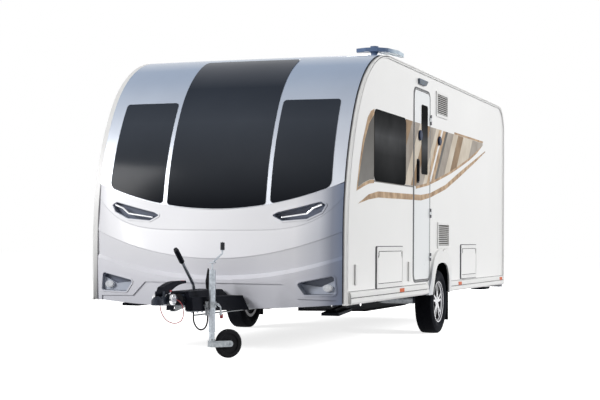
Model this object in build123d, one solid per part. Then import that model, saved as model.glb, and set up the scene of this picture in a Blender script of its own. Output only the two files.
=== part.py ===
"""Single-axle touring caravan with a full-height entry door and a three-window front.

Millimetres, +Z up.  The coupling points to -Y, the entry door (nearside) is on +X, the
ground is Z = 0 and the origin lies on the ground at the middle of the overall length.
"""
import os
from math import asin, atan2, cos, degrees, hypot, radians, sin, sqrt, tan

from build123d import *

os.makedirs("parts", exist_ok=True)

# ----------------------------------------------------------------- driving dimensions
OVERALL_LENGTH = 7370
OVERALL_WIDTH = 2280
WALL_X = 1115                 # outer face of each side wall
WALL_T = 30                   # bonded sandwich panel
FLOOR_T = 44
FRONT_Y = -2544               # foot of the front wall at the side walls
REAR_Y = 3626                 # outer face of the rear panel
WALL_FOOT_Z = 405
ROOF_Z = 2525

FRONT_STRAIGHT_Z = 960        # the front wall is upright up to here
FRONT_RADIUS = 2100           # first, slow sweep of the front wall
FRONT_SWEEP = 30              # degrees of that sweep
NOSE_RADIUS = 1030            # second sweep, over into the roof
REAR_RADIUS = 300
ROOF_JOINT_Y = -1330          # front moulding meets the roof panel
FRONT_CROWN = 32              # how far the front stands out in plan at the middle

SKIRT_X = OVERALL_WIDTH / 2
NOSE_Y = -OVERALL_LENGTH / 2
TAIL_Y = OVERALL_LENGTH / 2

AXLE_Y = 556                  # wheel centres
WHEEL_Z = 314
WHEEL_X = 1010
TYRE_R = 314
TYRE_W = 190

# --------------------------------------------------------------------- small helpers


def prism_x(face, x0, x1):
    """A side-view face, drawn in (Y, Z), pushed from x0 to x1."""
    return extrude(Plane.YZ.offset(x0) * face, x1 - x0)


def prism_y(face, y0, y1):
    """A front-view face, drawn in (X, Z), pushed from y0 to y1."""
    return extrude(Plane.XZ.offset(-y1) * face, y1 - y0)


def prism_z(face, z0, z1):
    """A plan-view face, drawn in (X, Y), pushed from z0 to z1."""
    return extrude(Plane.XY.offset(z0) * face, z1 - z0)


def block(x, y, z):
    """A box between the low and high value of each axis."""
    size = (x[1] - x[0], y[1] - y[0], z[1] - z[0])
    middle = ((x[0] + x[1]) / 2, (y[0] + y[1]) / 2, (z[0] + z[1]) / 2)
    return Pos(*middle) * Box(*size)


def rod(start, end, radius):
    """A round bar from one point to another."""
    along = Vector(*end) - Vector(*start)
    lower = (Align.CENTER, Align.CENTER, Align.MIN)
    return Plane(origin=start, z_dir=along) * Cylinder(radius, along.length, align=lower)


def tube(start, end, radius, wall):
    """A round tube from one point to another, open at both ends."""
    return rod(start, end, radius) - rod(start, end, radius - wall)


def polygon(*points):
    """A flat face with straight sides."""
    return make_face(Polyline(*points, close=True))


def rounded(points, radius):
    """A flat face with straight sides and rounded corners."""
    face = polygon(*points)
    return fillet(face.vertices(), radius)


def panel(low, high, radius):
    """A rounded rectangle between two opposite corners."""
    middle = ((low[0] + high[0]) / 2, (low[1] + high[1]) / 2)
    return Pos(*middle) * RectangleRounded(high[0] - low[0], high[1] - low[1], radius)


def both_sides(shape):
    """A piece of the nearside and its mirror image, as separate solids."""
    return [shape, mirror(shape, about=Plane.YZ)]


def solids_of(pieces):
    """All the solids in a shape or in a list of shapes."""
    found = []
    for piece in pieces if isinstance(pieces, (list, tuple)) else [pieces]:
        found += piece.solids()
    return found


def save(name, pieces):
    """Write one node: a single solid, or several that don't touch."""
    found = solids_of(pieces)
    shape = found[0] if len(found) == 1 else Compound(found)
    export_step(shape, f"parts/{name}.step")


# ------------------------------------------------------------------ outline of the body
SWEEP_END = 180 - FRONT_SWEEP
FRONT_CENTRE = (FRONT_Y + FRONT_RADIUS, FRONT_STRAIGHT_Z)
NOSE_CENTRE = (
    FRONT_CENTRE[0] + (FRONT_RADIUS - NOSE_RADIUS) * cos(radians(SWEEP_END)),
    FRONT_CENTRE[1] + (FRONT_RADIUS - NOSE_RADIUS) * sin(radians(SWEEP_END)),
)
ROOF_TOP = NOSE_CENTRE[1] + NOSE_RADIUS
REAR_CENTRE = (REAR_Y - REAR_RADIUS, ROOF_TOP - REAR_RADIUS)


def front_edges(proud, foot_z, joint_y):
    """Front wall and nose in side view, standing proud of the wall line, up to joint_y."""
    front = FRONT_Y - proud
    top = ROOF_TOP + proud
    return [
        Line((front, foot_z), (front, FRONT_STRAIGHT_Z)),
        CenterArc(FRONT_CENTRE, FRONT_RADIUS + proud, 180, -FRONT_SWEEP),
        CenterArc(NOSE_CENTRE, NOSE_RADIUS + proud, SWEEP_END, 90 - SWEEP_END),
        Line((NOSE_CENTRE[0], top), (joint_y, top)),
    ]


def side_outline(proud):
    """The whole side view of the body, grown by proud."""
    foot = WALL_FOOT_Z
    rear = REAR_Y + proud
    edges = front_edges(proud, foot, REAR_CENTRE[0])
    edges += [
        CenterArc(REAR_CENTRE, REAR_RADIUS + proud, 90, -90),
        Line((rear, REAR_CENTRE[1]), (rear, foot)),
        Line((rear, foot), (FRONT_Y - proud, foot)),
    ]
    return make_face(edges)


def front_band(outer, inner, foot_z, joint_y):
    """Section of the front wall between two distances from the wall line."""
    edges = front_edges(outer, foot_z, joint_y) + front_edges(inner, foot_z, joint_y)
    edges += [
        Line((FRONT_Y - outer, foot_z), (FRONT_Y - inner, foot_z)),
        Line((joint_y, ROOF_TOP + outer), (joint_y, ROOF_TOP + inner)),
    ]
    return make_face(edges)


PLAN_RADIUS = (WALL_X**2 + FRONT_CROWN**2) / (2 * FRONT_CROWN)
PLAN_AXIS = Axis((0, FRONT_Y - FRONT_CROWN + PLAN_RADIUS, 0), (0, 0, 1))
PLAN_HALF_ANGLE = degrees(asin(WALL_X / PLAN_RADIUS)) + 0.2


def front_shell(outer, inner, foot_z, half_width):
    """The front wall's band, crowned in plan and trimmed to a width."""
    band = Plane.YZ * Pos(-FRONT_CROWN, 0) * front_band(outer, inner, foot_z, ROOF_JOINT_Y + 60)
    start = band.rotate(PLAN_AXIS, -PLAN_HALF_ANGLE)
    crowned = revolve(start, PLAN_AXIS, 2 * PLAN_HALF_ANGLE)
    return crowned & block((-half_width, half_width), (2 * FRONT_Y, ROOF_JOINT_Y), (0, 2 * ROOF_Z))


# ------------------------------------------------- windows, doors and hatches of the body
# name, low (Y, Z) and high (Y, Z) corner, corner radius
NEARSIDE_WINDOW = ((-1800, 1425), (-806, 2035), 60)
OFFSIDE_WINDOWS = [
    ((-1800, 1425), (-806, 2035), 60),
    ((-150, 1425), (850, 1985), 60),
    ((1900, 1525), (2700, 1985), 60),
]
REAR_WINDOW = ((-350, 1500), (350, 1950), 60)      # low and high (X, Z)

DOOR = ((-518, 552), (70, 2343))
DOOR_RADIUS = 70
DOOR_GAP = 6
DOOR_WINDOW = ((-262, 1555), (-35, 2215), 25)

# low and high (Y, Z) corners of the two hatches' frames
HATCHES = {"service_locker": ((-1719, 515), (-887, 868)), "rear_hatch": ((1398, 526), (2150, 881))}
HATCH_RIM = 42                # width of the frame round the flap
HATCH_SILL = 42               # height of the frame under the flap

VENTS = [((306, 2154), (780, 2406)), ((384, 848), (858, 1109))]   # fridge, nearside
VENT_RIM = 28

ARCH_CUT_R = 336              # wall opening round the tyre
ARCH_INNER = [(120, 400), (250, 620), (330, 690), (556, 712), (740, 670), (800, 540), (806, 400)]
ARCH_OUTER = [(-45, 400), (85, 570), (190, 740), (556, 818), (820, 775), (889, 660), (889, 400)]


def arch_line(points, foot):
    """Closed face under the wheel arch: straight feet, a round crown between them."""
    front_foot, front_low, front_high, top, rear_high, rear_low, rear_foot = points
    front_end = (front_foot[0], foot)
    rear_end = (rear_foot[0], foot)
    return make_face([
        Line(front_end, front_low),
        ThreePointArc(front_low, front_high, top),
        ThreePointArc(top, rear_high, rear_low),
        Line(rear_low, rear_end),
        Line(rear_end, front_end),
    ])


def wheel_opening():
    """The hole in the side wall, clear of the tyre and out to the trim's inner edge."""
    hole = Pos(AXLE_Y, WHEEL_Z) * Circle(ARCH_CUT_R)
    return hole + arch_line(ARCH_INNER, WALL_FOOT_Z - 60)


def hatch_opening(corners):
    low, high = corners
    return panel((low[0] + 20, low[1] + 20), (high[0] - 20, high[1] - 20), 25)


def side_wall(windows, with_door):
    wall = prism_x(side_outline(0), WALL_X - WALL_T, WALL_X)
    cuts = [panel(low, high, radius) for low, high, radius in windows]
    cuts.append(wheel_opening())
    if with_door:
        low, high = DOOR
        gap = DOOR_GAP
        cuts.append(panel((low[0] - gap, low[1] - gap), (high[0] + gap, high[1] + gap), DOOR_RADIUS))
        cuts += [hatch_opening(corners) for corners in HATCHES.values()]
        for low, high in VENTS:
            cuts.append(panel((low[0] + 20, low[1] + 20), (high[0] - 20, high[1] - 20), 5))
    for cut in cuts:
        wall -= prism_x(cut, WALL_X - 2 * WALL_T, WALL_X + WALL_T)
    return wall


save("side_wall_nearside", side_wall([NEARSIDE_WINDOW], True))
save("side_wall_offside", mirror(side_wall(OFFSIDE_WINDOWS, False), about=Plane.YZ))

# ---------------------------------------------------------------- front, roof and rear
INNER_X = WALL_X - WALL_T
# The joint between upper and lower front mouldings is a wide smile under the windows.
SEAM_MID_Z = 1163
SEAM_END_Z = 1383
SEAM_GAP = 3


def above_seam(lift):
    """Front-view face of everything over the seam, raised by lift."""
    edge = WALL_X + 50
    end_z = SEAM_END_Z + lift
    return make_face([
        ThreePointArc((-INNER_X, end_z), (0, SEAM_MID_Z + lift), (INNER_X, end_z)),
        Line((INNER_X, end_z), (edge, end_z)),
        Line((edge, end_z), (edge, 2 * ROOF_Z)),
        Line((edge, 2 * ROOF_Z), (-edge, 2 * ROOF_Z)),
        Line((-edge, 2 * ROOF_Z), (-edge, end_z)),
        Line((-edge, end_z), (-INNER_X, end_z)),
    ])


PILLAR_IN, PILLAR_OUT = 437, 476           # white pillars between the front windows
SIDE_WINDOW_TOP_Z = 2077
CENTRE_WINDOW_TOP_Z = 2482
GLASS_LIFT = 8                             # glass foot above the seam
GLASS_CORNER = 28
GLASS_OUTER_CORNER = 75                    # the lower outer corner of each side window


def front_window_faces():
    """Front-view outlines of the two side windows and the tall centre window."""
    over = above_seam(GLASS_LIFT)
    foot = SEAM_MID_Z - 100
    side = polygon((PILLAR_OUT, foot), (PILLAR_OUT, SIDE_WINDOW_TOP_Z), (968, SIDE_WINDOW_TOP_Z), (988, foot))
    centre = polygon((-PILLAR_IN, foot), (-PILLAR_IN, CENTRE_WINDOW_TOP_Z),
                     (PILLAR_IN, CENTRE_WINDOW_TOP_Z), (PILLAR_IN, foot))
    side, centre = side & over, centre & over
    outer_corner = side.vertices().sort_by(Axis.X)[-1]
    others = [vertex for vertex in side.vertices() if vertex != outer_corner]
    side = fillet(others, GLASS_CORNER)
    outer_corner = side.vertices().sort_by_distance(outer_corner.center())[0]
    side = fillet(outer_corner, GLASS_OUTER_CORNER)
    return side, fillet(centre.vertices(), GLASS_CORNER)


side_glass_face, centre_glass_face = front_window_faces()
glass_prisms = {
    "side": [prism_y(side_glass_face, 2 * FRONT_Y, -1300)],
    "centre": [prism_y(centre_glass_face, 2 * FRONT_Y, -1300)],
}
glass_prisms["side"].append(mirror(glass_prisms["side"][0], about=Plane.YZ))

SHELL_PROUD = 12              # the mouldings stand out from the wall line
upper = front_shell(SHELL_PROUD, -WALL_T, WALL_FOOT_Z, INNER_X) & prism_y(above_seam(SEAM_GAP), 2 * FRONT_Y, 0)
for prism in glass_prisms["side"] + glass_prisms["centre"]:
    upper -= prism
save("front_panel_upper", upper)

glass_band = front_shell(SHELL_PROUD + 5, -16, WALL_FOOT_Z, INNER_X)
save("front_windows", [glass_band & prism for prism in glass_prisms["side"] + glass_prisms["centre"]])

# Lower front moulding.  Each row is one crease that runs across the front as a smile:
# height at the middle, height at the corner, how late the smile turns up, and how far it
# stands out at the middle and at the corner.
NOSE_ROWS = [
    # z_mid, z_end, bend, out_mid, out_end
    (1163, 1383, 2.0, 48, 14),
    (1001, 1272, 5.0, 62, 8),
    (991, 1262, 5.0, 59, 6),
    (768, 994, 2.0, 98, 12),
    (758, 984, 2.0, 93, 8),
    (627, 797, 2.1, 68, 2),
    (594, 770, 2.2, 102, 14),
    (560, 730, 2.2, 102, 14),
    (362, 412, 2.0, 82, 4),
]
NOSE_STATIONS = [0, 190, 380, 560, 720, 850, 960, 1030, 1085]
NOSE_T = 26
CORNER_FROM, CORNER_DROP = 960, 9         # the face rolls back towards the side walls


def nose_point(row, x, proud):
    """(Y, Z) on one crease at a distance from the middle, standing proud of the face."""
    z_mid, z_end, bend, out_mid, out_end = row
    across = abs(x) / INNER_X
    z = z_mid + (z_end - z_mid) * across**bend
    out = out_end + (out_mid - out_end) * (1 - across**2.6) + proud
    roll = max(0, abs(x) - CORNER_FROM) / (INNER_X - CORNER_FROM)
    wall_lean = max(0, z - FRONT_STRAIGHT_Z)
    lean = FRONT_RADIUS - sqrt(FRONT_RADIUS**2 - wall_lean**2)
    return FRONT_Y - out + CORNER_DROP * roll**2 + lean, z


def nose_layer(outer, inner):
    """The moulding's skin between two distances out from its face."""
    sections = []
    for x in [-station for station in reversed(NOSE_STATIONS[1:])] + NOSE_STATIONS:
        face_side = [nose_point(row, x, outer) for row in NOSE_ROWS]
        back_side = [nose_point(row, x, inner) for row in reversed(NOSE_ROWS)]
        sections.append(Plane.YZ.offset(x) * polygon(*face_side, *back_side))
    return loft(sections)


lower = nose_layer(0, -NOSE_T)
# Shallow pocket round the drawbar (front view, nearside half)
POCKET = [(0, 568), (605, 568), (723, 453), (1037, 445), (1037, 300), (0, 300)]
POCKET_DEPTH = 11
pocket_face = polygon(*POCKET) + mirror(polygon(*POCKET), about=Plane.YZ)
lower -= nose_layer(120, -POCKET_DEPTH) & prism_y(pocket_face, FRONT_Y - 250, FRONT_Y + 50)

# Lamp pods and grab handle slots (front view, nearside)
POD = [(1022, 642), (715, 577), (786, 481), (1037, 487)]
POD_CORNER = 22
HANDLE_SLOT = [
    (495, 1116), (545, 1142), (710, 1180), (905, 1229), (948, 1204), (915, 1143), (795, 1087), (585, 1070)]
SLOT_CORNER = 10
RIM_W, RIM_PROUD = 10, 5
through = (FRONT_Y - 250, FRONT_Y + 120)
rim_layer = nose_layer(RIM_PROUD, -RIM_W)
for outline, corner in ((POD, POD_CORNER), (HANDLE_SLOT, SLOT_CORNER)):
    mouth = rounded(outline, corner)
    rim_ring = prism_y(offset(mouth, RIM_W), *through)
    for ring, hole in zip(both_sides(rim_ring), both_sides(prism_y(mouth, *through))):
        lower += rim_layer & ring
        lower -= hole
lower -= block((-315, 315), (FRONT_Y - 200, FRONT_Y + 100), (300, WALL_FOOT_Z + 7))
save("front_panel_lower", lower)

TRAY_T = 4
TRAY_BACK_Y = FRONT_Y + 40
TRAY_FLOOR_Y = TRAY_BACK_Y - TRAY_T
ahead_of_face = nose_layer(250, 0)


def tray(outline, corner):
    """A moulded tray behind its hole, open to the front and flush with the face."""
    outer = rounded(outline, corner)
    hollow = prism_y(offset(outer, -TRAY_T), FRONT_Y - 260, TRAY_FLOOR_Y)
    return prism_y(outer, FRONT_Y - 130, TRAY_BACK_Y) - hollow - ahead_of_face


LAMP_SHELF = [(727, 570), (905, 548), (1024, 604), (1027, 494), (789, 487)]
LAMP_SHELF_Y = FRONT_Y + 12
shelf = prism_y(polygon(*LAMP_SHELF) & offset(rounded(POD, POD_CORNER), -1), LAMP_SHELF_Y, TRAY_BACK_Y)
save("front_recess_trays", both_sides(tray(POD, POD_CORNER) + shelf) + both_sides(tray(HANDLE_SLOT, SLOT_CORNER)))
LAMP_X, LAMP_Z = 966, 540
lamp_place = Plane.XZ.offset(-LAMP_SHELF_Y) * Pos(LAMP_X, LAMP_Z)
lamp = extrude(lamp_place * Ellipse(42, 29), 20) + extrude(lamp_place * Ellipse(34, 22), 27)
save("front_lamps", both_sides(lamp))
# grab bar in the slot, with a short post at each end
BAR_R = 9
bar_y = FRONT_Y - 16
bar_path = [(575, bar_y, 1101), (790, bar_y, 1131), (843, bar_y, 1176), (908, bar_y, 1201)]
bar = Pos(*bar_path[0]) * Sphere(BAR_R)
for start, end in zip(bar_path, bar_path[1:]):
    bar += rod(start, end, BAR_R) + Pos(*end) * Sphere(BAR_R)
for x, y, z in (bar_path[0], bar_path[-1]):
    bar += rod((x, y, z), (x, TRAY_FLOOR_Y, z), BAR_R)
save("front_grab_bars", both_sides(bar))

roof = block((-INNER_X, INNER_X), (ROOF_JOINT_Y, REAR_CENTRE[0]), (ROOF_TOP - WALL_T, ROOF_TOP))
# name, centre (X, Y), size (X, Y), height above the roof
ROOF_LIGHTS = [
    ((0, -800), (700, 500), 70),
    ((0, 900), (400, 400), 60),
    ((0, 2750), (400, 400), 60),
]
for centre, size, height in ROOF_LIGHTS:
    roof -= Pos(*centre, ROOF_TOP) * Box(size[0] - 60, size[1] - 60, 4 * WALL_T)
save("roof_panel", roof)


def roof_light(centre, size, height):
    """A flanged frame with a shallow tinted dome."""
    base = Pos(*centre, 0) * RectangleRounded(*size, 50)
    frame = prism_z(base, ROOF_TOP, ROOF_TOP + 18)
    lid_face = Pos(*centre, 0) * RectangleRounded(size[0] - 30, size[1] - 30, 40)
    lid = extrude(Plane.XY.offset(ROOF_TOP + 18) * lid_face, height - 18, taper=25)
    return frame + lid


# small cowled vents near the nearside edge: (X, Y), radius, height
ROOF_VENTS = [((980, 560), 55, 62), ((960, 3060), 45, 50), ((-900, 1500), 60, 62)]
vents = []
for (x, y), radius, height in ROOF_VENTS:
    stem = rod((x, y, ROOF_TOP), (x, y, ROOF_TOP + height), radius * 0.6)
    cap = Pos(x, y, ROOF_TOP + height) * Cone(radius, radius * 0.6, height * 0.35)
    vents.append(stem + cap)
save("roof_lights_and_vents", [roof_light(*row) for row in ROOF_LIGHTS] + vents)

rear_edges = [
    CenterArc(REAR_CENTRE, REAR_RADIUS, 0, 90),
    CenterArc(REAR_CENTRE, REAR_RADIUS - WALL_T, 0, 90),
    Line((REAR_CENTRE[0], ROOF_TOP), (REAR_CENTRE[0], ROOF_TOP - WALL_T)),
    Line((REAR_Y, REAR_CENTRE[1]), (REAR_Y, WALL_FOOT_Z)),
    Line((REAR_Y, WALL_FOOT_Z), (REAR_Y - WALL_T, WALL_FOOT_Z)),
    Line((REAR_Y - WALL_T, WALL_FOOT_Z), (REAR_Y - WALL_T, REAR_CENTRE[1])),
]
rear = prism_x(make_face(rear_edges), -INNER_X, INNER_X)
rear_glass_face = panel(*REAR_WINDOW)
rear -= prism_y(rear_glass_face, REAR_Y - 2 * WALL_T, REAR_Y + WALL_T)
save("rear_panel", rear)
rear_glass = prism_y(rear_glass_face, REAR_Y - 18, REAR_Y + 5)

# ----------------------------------------------------------------- floor and wheel boxes
BOX_X = 880                   # inner face of each wheel box
BOX_Y = (AXLE_Y - 366, AXLE_Y + 366)
BOX_TOP_Z = 700
BOX_T = 5
FLOOR_TOP_Z = WALL_FOOT_Z + FLOOR_T
floor = block((-INNER_X, INNER_X), (FRONT_Y + WALL_T, REAR_Y - WALL_T), (WALL_FOOT_Z, FLOOR_TOP_Z))
for side in (-1, 1):
    edges_x = sorted((side * BOX_X, side * (WALL_X + 10)))
    floor -= block(edges_x, BOX_Y, (WALL_FOOT_Z - 10, FLOOR_TOP_Z + 10))
floor -= nose_layer(0, -NOSE_T)
save("floor_panel", floor)

box_outer = rounded([(BOX_Y[0], 405), (BOX_Y[0], BOX_TOP_Z), (BOX_Y[1], BOX_TOP_Z), (BOX_Y[1], 405)], 90)
box_inner = offset(box_outer, -BOX_T)
wheel_box = prism_x(box_outer, BOX_X, INNER_X) - prism_x(box_inner, BOX_X + BOX_T, INNER_X + 1)
wheel_box -= block((BOX_X - 1, INNER_X + 1), BOX_Y, (300, 500))
wheel_box += block((BOX_X, INNER_X), (BOX_Y[0], BOX_Y[0] + BOX_T), (WALL_FOOT_Z, 500))
wheel_box += block((BOX_X, INNER_X), (BOX_Y[1] - BOX_T, BOX_Y[1]), (WALL_FOOT_Z, 500))
wheel_box += block((BOX_X, BOX_X + BOX_T), BOX_Y, (WALL_FOOT_Z, 500))
save("wheel_boxes", both_sides(wheel_box))

# ------------------------------------------------------------------ glass and wall trims


def side_glass(row):
    return prism_x(panel(*row), WALL_X - 18, WALL_X + 5)


side_panes = [side_glass(NEARSIDE_WINDOW)]
side_panes += [mirror(side_glass(row), about=Plane.YZ) for row in OFFSIDE_WINDOWS]
save("body_windows", side_panes + [rear_glass])

RAIL_IN, RAIL_OUT, RAIL_PROUD = 16, 10, 13
rail_face = side_outline(RAIL_OUT) - side_outline(-RAIL_IN)
rail_face -= Pos((FRONT_Y + REAR_Y) / 2, WALL_FOOT_Z) * Rectangle(REAR_Y - FRONT_Y - 2 * RAIL_IN, 120)
rail = prism_x(rail_face, WALL_X, WALL_X + RAIL_PROUD)
groove = (side_outline(1) - side_outline(-7))
rail -= prism_x(groove, WALL_X + 5, WALL_X + RAIL_PROUD + 1)
save("awning_rails", both_sides(rail))

SKIRT_SPANS = [(FRONT_Y + 62, -20), (892, REAR_Y - 24)]
skirt_profile = polygon((WALL_X, 412), (1132, 412), (SKIRT_X, 424), (SKIRT_X, 452), (1134, 456),
                        (1134, 462), (SKIRT_X - 1, 466), (1136, 492), (1128, 504), (WALL_X, 510))
skirts = []
for y0, y1 in SKIRT_SPANS:
    skirts.append(extrude(Plane.XZ.offset(-y1) * skirt_profile, y1 - y0))
arch_outer = arch_line(ARCH_OUTER, 400)
arch_inner = arch_line(ARCH_INNER, 380)
trim = prism_x(arch_outer - arch_inner, WALL_X, SKIRT_X)
skirts = [piece - prism_x(arch_outer, WALL_X - 10, SKIRT_X + 10) for piece in skirts]
all_skirts = []
for piece in skirts:
    all_skirts += both_sides(piece)
save("wheel_arch_trims", both_sides(trim))

MARKERS = [-977, 1289, 3416]
MARKER_Z = (470, 492)
markers = []
for y in MARKERS:
    markers += both_sides(block((SKIRT_X - 6, SKIRT_X), (y - 30, y + 30), MARKER_Z))


def louvred_vent(low, high):
    """A vent cover: a rim with sloping slats across its opening."""
    outer = panel(low, high, 8)
    hole_low = (low[0] + VENT_RIM, low[1] + VENT_RIM)
    hole_high = (high[0] - VENT_RIM, high[1] - VENT_RIM)
    hole = panel(hole_low, hole_high, 4)
    cover = prism_x(outer - hole, WALL_X, WALL_X + 10)
    pitch = 19.5
    count = int((hole_high[1] - hole_low[1]) / pitch)
    for step in range(count):
        z = hole_low[1] + (step + 0.5) * pitch
        slat = polygon((WALL_X, z + 5), (WALL_X, z + 9), (WALL_X + 8, z), (WALL_X + 8, z - 4))
        cover += extrude(Plane.XZ.offset(-hole_high[0]) * slat, hole_high[0] - hole_low[0])
    return cover


save("fridge_vents", [louvred_vent(*row) for row in VENTS])
marker_holes = []
for y in MARKERS:
    marker_holes += both_sides(block((SKIRT_X - 6, SKIRT_X + 9), (y - 30, y + 30), MARKER_Z))
for hole in marker_holes:
    all_skirts = [piece - hole for piece in all_skirts]
save("side_skirts", all_skirts)

# ------------------------------------------------------------------------- entry door
HINGE_X, HINGE_Y = 1128, 80
door_low, door_high = DOOR
door_face = panel(door_low, door_high, DOOR_RADIUS - DOOR_GAP)
window_low, window_high, window_radius = DOOR_WINDOW
door_window_face = panel(window_low, window_high, window_radius)
door = prism_x(door_face, WALL_X - WALL_T, WALL_X + 4) - prism_x(door_window_face, 1000, 1200)
# hinge heights, low and high
HINGES = [(2045, 2142), (1144, 1233), (727, 804)]
wall_leaves = []
for z0, z1 in HINGES:
    barrel = rod((HINGE_X, HINGE_Y, z0 + 30), (HINGE_X, HINGE_Y, z1 - 30), 7)
    arm = block((WALL_X + 2, HINGE_X + 2), (40, HINGE_Y), (z0 + 31, z1 - 31))
    door += arm + barrel
    ends = rod((HINGE_X, HINGE_Y, z0), (HINGE_X, HINGE_Y, z0 + 29), 7)
    ends += rod((HINGE_X, HINGE_Y, z1 - 29), (HINGE_X, HINGE_Y, z1), 7)
    leaf = ends + block((WALL_X, WALL_X + 5), (HINGE_Y + 9, 114), (z0, z1))
    for low_z in (z0, z1 - 29):
        leaf += block((WALL_X, HINGE_X), (HINGE_Y, HINGE_Y + 12), (low_z, low_z + 29))
    wall_leaves.append(leaf)
save("entry_door", door)
save("door_window", prism_x(door_window_face, WALL_X - 14, WALL_X + 8))
handle = prism_x(panel((-432, 1465), (-352, 1690), 26), WALL_X + 4, WALL_X + 12)
handle += prism_x(panel((-424, 1480), (-392, 1675), 15), WALL_X + 12, WALL_X + 25)
KNOB_Z, KNOB_R = 1915, 22
door_knob = rod((WALL_X + 4, -288, KNOB_Z), (WALL_X + 26, -288, KNOB_Z), KNOB_R)
save("door_handle_and_knob", [handle, door_knob])
wall_knob = rod((WALL_X, 452, KNOB_Z), (WALL_X + 22, 452, KNOB_Z), KNOB_R)
save("door_hinges_and_catch", wall_leaves + [wall_knob])
lamp_face = polygon((-390, 2449), (-70, 2449), (-150, 2400), (-375, 2400))
save("side_lamps", markers + [prism_x(lamp_face, WALL_X, WALL_X + 22)])

# ------------------------------------------------------------------- hatches and flaps
FLAP_GAP = 5


def flap_corners(low, high):
    return (low[0] + HATCH_RIM, low[1] + HATCH_SILL), (high[0] - HATCH_RIM, high[1] - HATCH_RIM)


hatch_frames = []
for name, (low, high) in HATCHES.items():
    flap_low, flap_high = flap_corners(low, high)
    outer = panel(low, high, 22)
    gap = FLAP_GAP
    mouth = panel((flap_low[0] - gap, flap_low[1] - gap), (flap_high[0] + gap, flap_high[1] + gap), 14)
    lip = prism_x(outer - mouth, WALL_X, WALL_X + 9)
    neck = prism_x(hatch_opening((low, high)) - mouth, WALL_X - WALL_T, WALL_X)
    hatch_frames.append(lip + neck)
    cut = 62
    flap_face = polygon(
        flap_low, (flap_high[0], flap_low[1]), (flap_high[0], flap_high[1] - cut),
        (flap_high[0] - 26, flap_high[1] - cut + 26), (flap_high[0] - 26, flap_high[1]),
        (flap_low[0] + 26, flap_high[1]), (flap_low[0] + 26, flap_high[1] - cut + 26),
        (flap_low[0], flap_high[1] - cut))
    flap = prism_x(flap_face, WALL_X - 20, WALL_X + 8)
    save(name + "_flap", flap)
save("hatch_frames", hatch_frames)

# ------------------------------------------------------------------- chassis and A-frame
RAIL_X = 480                  # web of each chassis member
RAIL_FOOT = 232
STEEL_T = 5
AFRAME_FRONT = (44, -3226)
AFRAME_REAR = (RAIL_X, -1900)
AFRAME_Z = (362, WALL_FOOT_Z)


def channel(width, z0, z1, start, end):
    """A folded steel C-section laid from one plan point to another, open outwards."""
    (x0, y0), (x1, y1) = start, end
    length = hypot(x1 - x0, y1 - y0)
    turn = degrees(atan2(x0 - x1, y1 - y0))
    wall = STEEL_T
    section = polygon((0, z0), (width, z0), (width, z0 + wall), (wall, z0 + wall),
                      (wall, z1 - wall), (width, z1 - wall), (width, z1), (0, z1))
    bar = extrude(Plane.XZ * section, -length)
    return Pos(x0, y0, 0) * Rot(0, 0, turn) * bar


TUBE_Y, TUBE_Z, TUBE_R = AXLE_Y - 170, 345, 50      # rubber-sprung axle tube
RAIL_W = 45
RAIL_SIDE = [(AFRAME_REAR[1] + 2, WALL_FOOT_Z), (AFRAME_REAR[1] + 2, 320), (-100, RAIL_FOOT), (1300, RAIL_FOOT),
             (3480, 330), (3480, WALL_FOOT_Z)]
rail_side = polygon(*RAIL_SIDE)
member = prism_x(rail_side, RAIL_X, RAIL_X + RAIL_W)
member -= prism_x(offset(rail_side, -STEEL_T), RAIL_X + STEEL_T, RAIL_X + RAIL_W + 1)
HOLES = [(-1000, 342, 26), (-560, 330, 34), (-120, 320, 38), (1000, 320, 38), (1500, 325, 34), (2000, 342, 28)]
for y, z, radius in HOLES:
    member -= rod((RAIL_X - 10, y, z), (RAIL_X + 20, y, z), radius)
member -= rod((RAIL_X - 10, TUBE_Y, TUBE_Z), (RAIL_X + 60, TUBE_Y, TUBE_Z), TUBE_R)
save("chassis_members", both_sides(member))
a_member = channel(45, *AFRAME_Z, AFRAME_FRONT, AFRAME_REAR)
save("a_frame", both_sides(a_member))

cross_members = []
for y in (-1700, 1500, 3300):
    box = block((-RAIL_X, RAIL_X), (y, y + 44), (345, WALL_FOOT_Z))
    cross_members.append(box - block((-RAIL_X, RAIL_X), (y + 4, y + 40), (340, WALL_FOOT_Z - 4)))
# plate across the A-frame that carries the overrun gear
PLATE_Y = (-3238, -2790)
PLATE_TOP = WALL_FOOT_Z + 6
LEAD_Y = -2830
LEAD_UP_X = 54                # the lead rises through the plate and the cover here
plate = prism_z(polygon((-75, PLATE_Y[0]), (75, PLATE_Y[0]), (220, PLATE_Y[1]), (-220, PLATE_Y[1])),
                WALL_FOOT_Z, PLATE_TOP)
plate -= rod((LEAD_UP_X, LEAD_Y, 380), (LEAD_UP_X, LEAD_Y, 420), 14)
save("cross_members", cross_members + [plate])

# ------------------------------------------------------------------ axle and brake gear
save("axle_tube", tube((-880, TUBE_Y, TUBE_Z), (880, TUBE_Y, TUBE_Z), TUBE_R, 8))
arm_face = polygon((TUBE_Y - 45, TUBE_Z - 38), (TUBE_Y - 45, TUBE_Z + 38),
                   (AXLE_Y + 25, WHEEL_Z + 32), (AXLE_Y + 38, WHEEL_Z), (AXLE_Y + 25, WHEEL_Z - 32))
arm = prism_x(arm_face, 880, 905) + rod((905, AXLE_Y, WHEEL_Z), (940, AXLE_Y, WHEEL_Z), 60)
save("suspension_arms", both_sides(arm))
BRAKE_ROD_Z = 322
save("brake_rod", rod((0, -2960, BRAKE_ROD_Z), (0, TUBE_Y - 60, BRAKE_ROD_Z), 6)
     + block((-30, 30), (TUBE_Y - 75, TUBE_Y - 60), (BRAKE_ROD_Z - 14, BRAKE_ROD_Z + 14)))

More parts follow.
